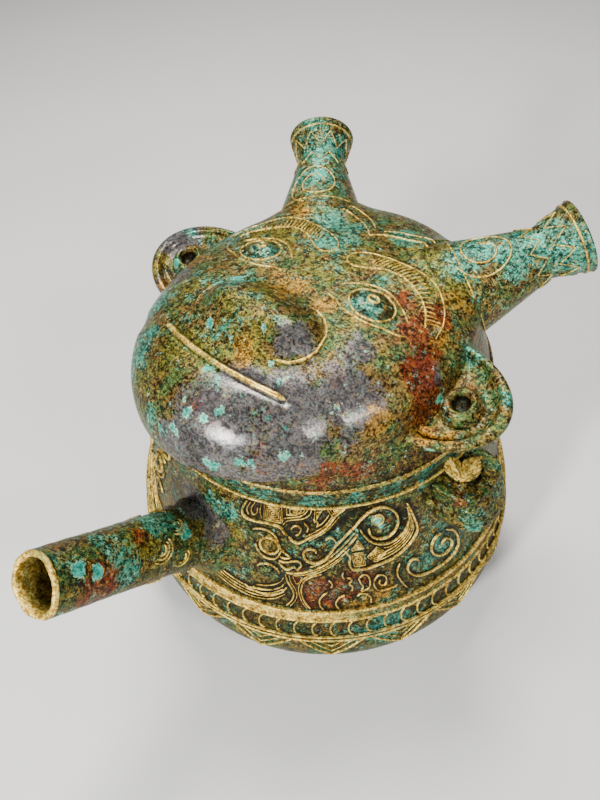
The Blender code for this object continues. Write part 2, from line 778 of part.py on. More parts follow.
def build_horns(additions, cutters):
    lip = HORN_EDGE
    dish = HORN_LIP_RADIUS - HORN_DISH_EDGE
    profile = [(0.0, -HORN_DISH), (dish, -HORN_DISH), (HORN_LIP_RADIUS - lip, 0.0), (HORN_LIP_RADIUS, -lip)]
    steps = 7
    for step in range(1, steps + 1):
        back = lip + (HORN_LENGTH - lip) * step / steps
        profile.append((horn_radius(back), -back))
    root = HORN_LENGTH + HORN_ROOT_LENGTH
    profile.append((HORN_ROOT_MIDDLE, 0.5 * HORN_ROOT_LENGTH - root))
    profile += [(HORN_ROOT_RADIUS, -root), (0.0, -root)]
    core_top = HORN_DISH + HORN_WALL
    core = [(0.0, -core_top), (horn_radius(core_top) - HORN_WALL, -core_top)]
    steps = 3
    for step in range(1, steps + 1):
        back = core_top + (HORN_CORE_SHARE * HORN_LENGTH - core_top) * step / steps
        core.append((horn_radius(back) - HORN_WALL, -back))
    core.append((HORN_ROOT_RADIUS - HORN_WALL, -root))
    core.append((0.0, -root))
    for side, label in SIDES:
        turned("horn_" + label, profile, HORN_SIDES, additions, horn_place(side))
        turned("horn_core_" + label, core, CORE_SIDES, cutters, horn_place(side))


def ear_outline(shrink=0.0, count=16, start=-100.0, finish=100.0):
    """Points round the free edge of an ear in its own plane, x out and y back."""
    reach = EAR_REACH - EAR_INNER - shrink
    half = EAR_HALF_LENGTH - shrink
    points = []
    for index in range(count + 1):
        turn = math.radians(start + (finish - start) * index / count)
        points.append((reach * math.cos(turn), half * math.sin(turn)))
    return points


def build_ears(additions):
    """Scroll ears: a plate with a beaded edge that curls in at its middle."""
    for side, label in SIDES:
        lean = Matrix.Rotation(math.radians(EAR_PITCH), 4, "X")
        lift = Matrix.Rotation(-side * math.radians(EAR_LIFT), 4, "Y")
        place = Matrix.Translation((side * EAR_INNER, EAR_PLACE, EAR_HEIGHT)) @ lean @ lift
        outline = [(side * x, y) for x, y in ear_outline(0.0, 18, -112.0, 112.0)]
        flat_plate("ear_" + label, outline, EAR_THICKNESS, additions, place)
        top = 0.5 * EAR_THICKNESS
        rim = [place @ Vector((side * x, y, top)) for x, y in ear_outline(EAR_BEAD, 10, -80.0, 80.0)]
        tube("ear_rim_" + label, rim, EAR_BEAD, additions)
        curl = []
        for index in range(9):
            turn = math.radians(150.0 - 330.0 * index / 8)
            x = EAR_CURL_OUT - EAR_INNER + EAR_CURL_RADIUS * math.cos(turn)
            curl.append(place @ Vector((side * x, EAR_CURL_RADIUS * math.sin(turn), top)))
        tube("ear_curl_" + label, curl, 0.8 * EAR_BEAD, additions)


def build_lid(group, material):
    additions = make_collection("lid_additions")
    cutters = make_collection("lid_cutters")
    lid = lid_solid(group)
    lid_cavity(cutters)
    build_face_lines(additions, cutters)
    build_horns(additions, cutters)
    build_ears(additions)
    combine(lid, "UNION", additions)
    combine(lid, "DIFFERENCE", cutters)
    lid.data.materials.append(material)
    return lid


def centre_on_box(pieces):
    """Move the pieces so that the origin is under the middle of their box."""
    bpy.context.view_layer.update()
    view = bpy.context.evaluated_depsgraph_get()
    lows = []
    highs = []
    for item in pieces:
        mesh = item.evaluated_get(view).to_mesh()
        places = [item.matrix_world @ vertex.co for vertex in mesh.vertices]
        lows.append(min(place.y for place in places))
        highs.append(max(place.y for place in places))
    centre = bpy.data.objects.new("centre", None)
    pieces[0].users_collection[0].objects.link(centre)
    for item in bpy.data.objects:
        if item is not centre:
            item.parent = centre
    centre.location = (0.0, -0.5 * (min(lows) + max(highs)), 0.0)


def main():
    clear_scene()
    group = make_collection("wine_vessel")
    vessel_bronze = make_material("vessel_bronze", (0.13, 0.16, 0.11), 0.50, 0.6)
    lid_bronze = make_material("lid_bronze", (0.17, 0.18, 0.15), 0.42, 0.6)
    pieces = [build_vessel(group, vessel_bronze), build_spout(group, vessel_bronze)]
    pieces += [build_lug(group, side, label, vessel_bronze) for side, label in SIDES]
    pieces.append(build_lid(group, lid_bronze))
    for helpers in bpy.data.collections:
        if helpers is not group:
            hide_helpers(helpers)
    for item in pieces:
        item.data.shade_smooth()
    centre_on_box(pieces)


main()
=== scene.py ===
"""Looks of the bronze wine vessel: cast relief, patina, floor, lights and camera.

All forms are shaped in millimetres about the vessel's own upright axis, with the spout towards -Y.
"""

import json
import math

import bpy
import numpy as np
from mathutils import Matrix, Vector
from mathutils.kdtree import KDTree


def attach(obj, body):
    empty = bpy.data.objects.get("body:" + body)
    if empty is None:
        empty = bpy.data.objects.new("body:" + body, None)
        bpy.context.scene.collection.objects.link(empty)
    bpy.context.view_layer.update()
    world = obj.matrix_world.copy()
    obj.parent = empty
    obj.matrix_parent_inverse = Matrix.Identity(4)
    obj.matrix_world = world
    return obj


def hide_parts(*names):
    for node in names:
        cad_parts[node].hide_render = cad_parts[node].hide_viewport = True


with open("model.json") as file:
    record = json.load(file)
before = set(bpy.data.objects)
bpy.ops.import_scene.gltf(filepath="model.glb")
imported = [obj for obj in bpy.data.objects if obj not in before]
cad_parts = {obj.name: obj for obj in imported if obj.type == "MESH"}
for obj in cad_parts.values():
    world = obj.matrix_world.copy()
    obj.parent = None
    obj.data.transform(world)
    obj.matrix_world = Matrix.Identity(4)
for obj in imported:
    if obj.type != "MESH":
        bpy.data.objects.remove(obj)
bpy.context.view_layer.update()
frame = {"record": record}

MM = 0.001
FOOT_MOUNT = [mount for mount in frame["record"]["mounts"] if mount["name"] == "foot"][0]
AXIS_Y = FOOT_MOUNT["pos_m"][1] / MM
SIDES = (1.0, -1.0)

# Body, as in the part
FOOT_RADIUS = 60.0
FOOT_HEIGHT = 8.0
FOOT_FLARE = 1.5
FOOT_WIDTH = 5.0
FOOT_RECESS = 5.5
BELLY_RADIUS = 90.5
BELLY_HEIGHT = 33.0
BELLY_POWER = 2.2
SHOULDER_HEIGHT = 116.6
SHOULDER_BOW = 0.6
NECK_RADIUS = 72.0
RIM_HEIGHT = 123.5
WALL = 3.2
BAND_HEIGHT = 57.0
BAND_RELIEF = 1.0
BAND_TOP = 2.3
BAND_FOOT = 3.1
CORD_HEIGHT = 42.4
CORD_HALF_WIDTH = 1.5
CORD_RELIEF = 0.8
# Flat millimetres for one degree round the body, true at a radius of 82
DEGREE = math.radians(82.0)
# Relief below this height stands straight out from the axis
LEVEL_RELIEF_HEIGHT = BELLY_HEIGHT - 14.0

# Spout, as in the part
SPOUT_ANGLE = 36.8
SPOUT_REACH = 143.6
SPOUT_TIP_HEIGHT = 131.4
SPOUT_TIP_RADIUS = 11.5
SPOUT_BASE_RADIUS = 12.6
SPOUT_LENGTH = 86.0
SPOUT_COLLAR = 8.0
SPOUT_COLLAR_LENGTH = 20.0
SPOUT_BORE_RADIUS = 9.4

# Lugs, as in the part
LUG_SETBACK = -6.0
LUG_HALF_WIDTH = 14.0
LUG_REACH = 93.5
LUG_TOP_REACH = 88.5
LUG_BOTTOM = 95.0
LUG_TOP = 113.0
LUG_SQUARENESS = 0.6
LUG_HOLE_OUTER = 83.2
LUG_HOLE_HALF_WIDTH = 6.0
LUG_GROOVE_HEIGHT = 109.2
# Depth and width of the groove round the strap, and how far the strap reaches into the body
LUG_GROOVE = (0.9, 0.8)
LUG_ROOT_DEPTH = 2.0

# Mask lid, as in the part
LID_EDGE_RADIUS = 71.3
LID_EDGE_HEIGHT = 123.8
LID_WALL = 3.0
FLANGE_RADIUS = 68.0
FLANGE_DEPTH = 8.0
FLANGE_WALL = 2.6
MASK_REACHES = ((-90.0, 82.8), (-28.0, 66.5), (0.0, 62.3), (40.0, 63.8), (90.0, 68.2))
MASK_FRONT_HEIGHT = 138.1
MASK_SIDE_HEIGHT = 147.5
MASK_BACK_HEIGHT = 151.5
MASK_TOP_HEIGHT = 168.3
MASK_TOP_SLOPE = 0.020
FRONT_POWERS = (2.8, 2.55)
SIDE_POWERS = (2.0, 1.97)
COLLAR_SHARE = 0.41

# Swellings of the face: how high, then the middle and the half size in plan; the second kind is on
# both sides. The nose and the eyeballs also have a rounder top of their own.
MIDDLE_SWELLINGS = ((4.5, 0.0, -33.0, 31.0, 20.0), (1.6, 0.0, -68.0, 32.0, 12.0))
SIDE_SWELLINGS = ((2.2, 16.5, -33.0, 13.0, 13.0), (1.3, 27.0, -3.0, 14.0, 9.5), (1.0, 26.0, 21.0, 26.0, 9.0))
NOSE_TOP = (1.7, 0.0, -32.5, 26.5, 15.0)
EYE_TOP_RISE = 1.1
EYE_TOP_HALF_SIZE = (7.2, 5.8)
ROUND_TOP_POWER = 0.6
EYE_OUT = 27.4
EYE_BACK = -1.9
EYE_ROUNDNESS = 0.84
HORN_FILLET = 9.0

# Horns, as in the part
HORN_HEADING = 51.4
HORN_RISE = 20.8
HORN_TIP_OUT = 106.3
HORN_TIP_HEIGHT = 165.2
HORN_LENGTH = 56.0
HORN_BASE_RADIUS = 21.9
HORN_NECK_RADIUS = 10.9
HORN_LIP_RADIUS = 15.2
HORN_NECK_BACK = 16.5
HORN_FLARE_POWER = 1.24
HORN_ROOT_LENGTH = 20.0
HORN_ROOT_RADIUS = 10.0
HORN_ROOT_POWER = 1.7
# Radius at which distances round a horn are true
HORN_ROUND = 18.0

# Ears, as in the part
EAR_INNER = 56.0
EAR_REACH = 31.7
EAR_PLACE = -5.2
EAR_HALF_LENGTH = 22.4
EAR_HEIGHT = 143.8
EAR_PITCH = 17.2
EAR_LIFT = 4.0
EAR_CURL_OUT = 14.2


def circle(count):
    """Even angles once round."""
    return np.linspace(0.0, math.tau, count, endpoint=False)


def polar(radius, turn, height):
    """Points from radius, angle and height."""
    return np.stack(np.broadcast_arrays(radius * np.cos(turn), radius * np.sin(turn), height), -1)


def turned(profile, columns):
    """Grid of points that turns radius and height pairs about the upright axis."""
    profile = np.asarray(profile, float)
    return polar(profile[:, :1], circle(columns), profile[:, 1:])


def body_radius(height):
    """Outer radius of the plain body at a height."""
    height = np.asarray(height, float)
    share = np.clip((height - BELLY_HEIGHT) / (SHOULDER_HEIGHT - BELLY_HEIGHT), 0.0, 1.0)
    fall = (1.0 - share) + SHOULDER_BOW * share * (1.0 - share) ** 4
    upper = NECK_RADIUS + (BELLY_RADIUS - NECK_RADIUS) * fall
    drop = np.clip((BELLY_HEIGHT - height) / (BELLY_HEIGHT - FOOT_HEIGHT), 0.0, 1.0)
    lower = FOOT_RADIUS + (BELLY_RADIUS - FOOT_RADIUS) * (1.0 - drop ** BELLY_POWER) ** (1.0 / BELLY_POWER)
    return np.where(height >= BELLY_HEIGHT, upper, lower)


def around(angle, height, lift):
    """Points on the body at angles in degrees from +X, lifted along the body's normal."""
    step = 0.2
    slope = (body_radius(height + step) - body_radius(height - step)) / (2.0 * step)
    slope = np.where(height > LEVEL_RELIEF_HEIGHT, slope, 0.0)
    size = np.sqrt(1.0 + slope ** 2)
    return polar(body_radius(height) + lift / size, np.radians(angle), height - lift * slope / size)


def body_skin(u, v, lift):
    """Body surface in flat millimetres: u runs round it, v is the height."""
    return around(u / DEGREE, v, lift)


def mask_reach(turn):
    """Widest radius of the mask in a direction."""
    sine = np.sin(turn)
    places = [(math.sin(math.radians(angle)), reach) for angle, reach in MASK_REACHES]
    total = np.zeros_like(sine)
    for here, reach in places:
        weight = np.full_like(sine, reach)
        for other, _ in places:
            if other != here:
                weight = weight * (sine - other) / (here - other)
        total += weight
    return total


def mask_shoulder(turn):
    """Height of the mask's widest line in a direction."""
    sine = np.sin(turn)
    end = np.where(sine < 0.0, MASK_FRONT_HEIGHT, MASK_BACK_HEIGHT)
    return MASK_SIDE_HEIGHT + (end - MASK_SIDE_HEIGHT) * np.abs(sine)


def swelling(x, y, centre_x, centre_y, half_x, half_y, power=2.0):
    """Soft bump that is 1 in the middle and 0 at its rim."""
    away = ((x - centre_x) / half_x) ** 2 + ((y - centre_y) / half_y) ** 2
    return np.clip(1.0 - away, 0.0, 1.0) ** power


def mask_features(x, y):
    """Low swellings of the face: nose, its wings, lower lip, eyes and cheeks."""
    rise = 0.0
    for height, *where in MIDDLE_SWELLINGS:
        rise = rise + height * swelling(x, y, *where)
    for side in SIDES:
        for height, out, *where in SIDE_SWELLINGS:
            rise = rise + height * swelling(x, y, side * out, *where)
    return rise


def mask_height(x, y, inset=0.0, features=1.0):
    """Height of the mask over places in plan."""
    turn = np.arctan2(y, x)
    front = np.clip(-np.sin(turn), 0.0, 1.0)
    share = np.clip(np.hypot(x, y) / (mask_reach(turn) - inset), 0.0, 1.0)
    shoulder = mask_shoulder(turn)
    top = MASK_TOP_HEIGHT - MASK_TOP_SLOPE * y - inset
    crown_power = SIDE_POWERS[0] + (FRONT_POWERS[0] - SIDE_POWERS[0]) * front
    edge_power = SIDE_POWERS[1] + (FRONT_POWERS[1] - SIDE_POWERS[1]) * front
    crown = (1.0 - share ** crown_power) ** (1.0 / edge_power)
    return shoulder + (top - shoulder) * crown + features * mask_features(x, y)


def horn_place(side):
    """Frame of a horn: +Z runs out along it from the middle of its lip, and +X is level."""
    heading = math.radians(HORN_HEADING)
    rise = math.radians(HORN_RISE)
    level = Vector((side * math.cos(heading), math.sin(heading), 0.0))
    out = level * math.cos(rise) + Vector((0.0, 0.0, math.sin(rise)))
    across = Vector((0.0, 0.0, 1.0)).cross(out).normalized()
    up = out.cross(across)
    place = Matrix((across, up, out)).transposed().to_4x4()
    place.translation = level * HORN_TIP_OUT + Vector((0.0, 0.0, HORN_TIP_HEIGHT))
    return place


def horn_radius(back):
    """Radius of a horn at distances back from its lip."""
    share = np.clip(1.0 - back / HORN_NECK_BACK, 0.0, 1.0)
    flare = HORN_NECK_RADIUS + (HORN_LIP_RADIUS - HORN_NECK_RADIUS) * share ** HORN_FLARE_POWER
    share = (back - HORN_NECK_BACK) / (HORN_LENGTH - HORN_NECK_BACK)
    cone = HORN_NECK_RADIUS + (HORN_BASE_RADIUS - HORN_NECK_RADIUS) * share
    past = np.clip((back - HORN_LENGTH) / HORN_ROOT_LENGTH, 0.0, 1.0)
    root = HORN_BASE_RADIUS + (HORN_ROOT_RADIUS - HORN_BASE_RADIUS) * past ** HORN_ROOT_POWER
    return np.where(back < HORN_NECK_BACK, flare, np.where(back < HORN_LENGTH, cone, root))


def moved(points, place):
    """Points through a 4 by 4 place."""
    table = np.array(place)
    return points @ table[:3, :3].T + table[:3, 3]


def horn_gap(points, side):
    """Distance of points from the skin of a horn, less than 0 inside it."""
    local = moved(points, horn_place(side).inverted())
    back = np.clip(-local[..., 2], 0.0, HORN_LENGTH + HORN_ROOT_LENGTH)
    return np.hypot(local[..., 0], local[..., 1]) - horn_radius(back)


def fillet(gap):
    """Height of the soft fillet where a horn leaves the mask, at a distance from the crease."""
    return np.clip(HORN_FILLET - gap, 0.0, HORN_FILLET) ** 2 / (4.0 * HORN_FILLET)


def melted_mask(x, y):
    """Mask surface with the nose and eyeballs raised and the fillets of the horns."""
    points = np.stack([x, y, mask_height(x, y)], -1)
    rise, *where = NOSE_TOP
    points[..., 2] += rise * swelling(x, y, *where, ROUND_TOP_POWER)
    for side in SIDES:
        points[..., 2] += fillet(np.abs(horn_gap(points, side)))
        eye = swelling(x, y, side * EYE_OUT, EYE_BACK, *EYE_TOP_HALF_SIZE, ROUND_TOP_POWER)
        points[..., 2] += EYE_TOP_RISE * eye
    return points


def normals_of(skin, x, y, step=0.25):
    """Unit normals of a surface given as a function of two coordinates."""
    along = skin(x + step, y) - skin(x - step, y)
    across = skin(x, y + step) - skin(x, y - step)
    normal = np.cross(along, across)
    return normal / np.linalg.norm(normal, axis=-1, keepdims=True)


def mask_skin(u, v, lift):
    """Mask surface in plan, lifted along its normal."""
    return melted_mask(u, v) + normals_of(melted_mask, u, v) * np.asarray(lift)[..., None]


def horn_skin(u, v, lift):
    """Right horn's surface: u runs round it from its top, v runs back from the lip."""
    return moved(polar(horn_radius(v) + lift, 0.5 * math.pi - u / HORN_ROUND, -v), horn_place(1.0))


def run_along(path):
    """Distance along a path at each of its points."""
    return np.concatenate([[0.0], np.cumsum(np.linalg.norm(np.diff(path, axis=0), axis=1))])


def resampled(path, count):
    """A path as a given number of points at even steps."""
    run = run_along(path)
    marks = np.linspace(0.0, run[-1], count)
    return np.stack([np.interp(marks, run, axis) for axis in path.T], -1)


def even_path(points, step):
    """Points at even steps along straight runs."""
    points = np.asarray(points, float)
    return resampled(points, max(int(run_along(points)[-1] / step) + 1, 3))


def smooth_path(points, step, parts=12):
    """Points at even steps along a smooth curve through the given ones."""
    points = np.asarray(points, float)
    padded = np.concatenate([2 * points[:1] - points[1:2], points, 2 * points[-1:] - points[-2:-1]])
    share = np.linspace(0.0, 1.0, parts, endpoint=False)[:, None]
    runs = []
    for before, start, end, after in zip(padded, padded[1:], padded[2:], padded[3:]):
        runs.append(0.5 * (2 * start + (end - before) * share
                           + (2 * before - 5 * start + 4 * end - after) * share ** 2
                           + (3 * start - before - 3 * end + after) * share ** 3))
    return even_path(np.concatenate(runs + [points[-1:]]), step)


def rounded(profile, radius, steps=4):
    """Corners of a profile turned into small bends."""
    profile = np.asarray(profile, float)
    points = [profile[0]]
    for before, corner, after in zip(profile, profile[1:], profile[2:]):
        back = before - corner
        ahead = after - corner
        start = corner + back * min(radius / np.linalg.norm(back), 0.5)
        end = corner + ahead * min(radius / np.linalg.norm(ahead), 0.5)
        for share in np.linspace(0.0, 1.0, steps + 1):
            points.append((1 - share) ** 2 * start + 2 * share * (1 - share) * corner + share ** 2 * end)
    points.append(profile[-1])
    return np.array(points)


def grid_quads(rows, columns, closed):
    """Faces of a grid of points whose normal is the row direction times the column direction."""
    row = np.arange(rows - 1)[:, None] * columns
    column = np.arange(columns if closed else columns - 1)[None, :]
    after = (column + 1) % columns
    quads = [row + column, row + columns + column, row + columns + after, row + after]
    return np.stack(quads, -1).reshape(-1, 4)


def linked(name, data):
    """A new object in the scene."""
    item = bpy.data.objects.new(name, data)
    bpy.context.scene.collection.objects.link(item)
    return item


class Shape:
    """Points, faces and marks of wear and painted shade that are gathered for one piece.

    A mark above 0 is rubbed golden, and one below 0 darkens the ground: dirt in the hollows together with
    painted shade in recesses, creases and under overhangs.
    """

    def __init__(self):
        self.points = []
        self.faces = []
        self.marks = []
        self.count = 0

    def add(self, points, faces, marks):
        """Points with their own faces and marks."""
        self.points.append(points)
        self.faces.append(faces + self.count)
        self.marks.append(marks)
        self.count += len(points)

    def add_grid(self, points, closed=True, mark=0.0):
        """Rows and columns of points, closed round the columns, with marks that fit the grid."""
        rows, columns = points.shape[:2]
        marks = np.broadcast_to(mark, (rows, columns)).reshape(-1)
        self.add(points.reshape(-1, 3), grid_quads(rows, columns, closed), marks)

    def mirrored(self):
        """The same on the other side of the plane through the spout."""
        other = Shape()
        points = np.concatenate(self.points) * np.array([-1.0, 1.0, 1.0])
        other.add(points, np.concatenate(self.faces)[:, ::-1], np.concatenate(self.marks))
        return other

    def piece(self, name, node, finish):
        """One object in the scene, in metres, that stands for a node of the part."""
        slot, material = finish
        points = np.concatenate(self.points)
        faces = np.concatenate(self.faces)
        mesh = bpy.data.meshes.new(name)
        mesh.vertices.add(len(points))
        mesh.vertices.foreach_set("co", ((points + np.array([0.0, AXIS_Y, 0.0])) * MM).reshape(-1))
        mesh.loops.add(faces.size)
        mesh.loops.foreach_set("vertex_index", faces.reshape(-1).astype(np.int32))
        mesh.polygons.add(len(faces))
        mesh.polygons.foreach_set("loop_start", np.arange(0, faces.size, 4, dtype=np.int32))
        mesh.update(calc_edges=True)
        mesh.validate()
        for word, values in ({"wear_and_shade": np.concatenate(self.marks)} | stains(points)).items():
            mesh.attributes.new(word, "FLOAT", "POINT").data.foreach_set("value", values)
        mesh.polygons.foreach_set("use_smooth", np.ones(len(mesh.polygons), bool))
        mesh.materials.append(material)
        item = linked(name, mesh)
        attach(item, "root")
        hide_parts(node)

    def pair(self, name, node, finish):
        """The piece on the right and its mirror image on the left, with the side in their names."""
        for shape, side in ((self, "right"), (self.mirrored(), "left")):
            shape.piece(name.format(side), node.format(side), finish)


def stains(points):
    """How strongly each point wears each kind of stain, from soft patches in space and level bands."""
    found = {}
    for word, patches in STAINS.items():
        strength = np.zeros(len(points))
        for *middle, radius in patches:
            away = np.linalg.norm(points - np.array(middle), axis=1) / radius
            strength = np.maximum(strength, np.clip(STAIN_EDGE - away, 0.0, 1.0))
        found[word] = strength
    reach = np.hypot(points[:, 0], points[:, 1])
    for word, low, high, inner, outer, share in STAIN_BANDS:
        inside = (points[:, 2] > low) & (points[:, 2] < high) & (reach > inner) & (reach < outer)
        found[word] = np.maximum(found[word], share * inside)
    return found


# Section of a raised line in half widths and heights, and how it thins towards its ends
ROUND_SECTION = ((-1.25, -0.4), (-0.75, 0.5), (-0.3, 0.93), (0.3, 0.93), (0.75, 0.5), (1.25, -0.4))
TAPER_WIDTHS = 1.6
THINNEST = 0.03


def add_ridge(shape, path, width, height, skin, closed=False, worn=1.0):
    """Half-round raised line along a path on a skin, drawn out thin at its ends."""
    if closed:
        heading = np.roll(path, -1, axis=0) - np.roll(path, 1, axis=0)
        size = np.ones(len(path))
    else:
        heading = np.gradient(path, axis=0)
        run = run_along(path)
        near = np.minimum(run, run[-1] - run) / (TAPER_WIDTHS * width)
        size = np.sqrt(np.clip(1.0 - np.clip(1.0 - near, 0.0, 1.0) ** 2, THINNEST, 1.0))
    heading /= np.linalg.norm(heading, axis=1, keepdims=True) + 1e-9
    aside = np.stack([-heading[:, 1], heading[:, 0]], -1)
    rows = []
    for across, up in ROUND_SECTION:
        place = path + aside * (0.5 * width * across * size)[:, None]
        rows.append(skin(place[:, 0], place[:, 1], height * up * size))
    points = np.stack(rows, 1)
    if closed:
        points = np.concatenate([points, points[:1]])
    shape.add_grid(points, False, worn * np.array([max(up, 0.0) for _, up in ROUND_SECTION]))


def spiral(centre, outer, inner, turns, start, step=0.5):
    """Points that wind in from an outer to an inner radius; turns below 0 wind clockwise."""
    length = abs(turns) * math.pi * (outer + inner)
    share = np.linspace(0.0, 1.0, max(int(length / step), 8))
    turn = math.radians(start) + 2.0 * math.pi * turns * share
    radius = outer + (inner - outer) * share
    return np.stack([centre[0] + radius * np.cos(turn), centre[1] + radius * np.sin(turn)], -1)


def nested(corners, count):
    """Loops that shrink towards the middle of a shape given by its corners."""
    corners = np.asarray(corners, float)
    middle = corners.mean(axis=0)
    loops = []
    for index in range(count):
        scale = 1.0 - index / (count - 0.25)
        loop = middle + (corners - middle) * scale
        loops.append(even_path(np.concatenate([loop, loop[:1]]), 0.5))
    return loops


def flat(points):
    """Angle and height pairs as flat millimetres on the body."""
    return [(angle * DEGREE, height) for angle, height in points]


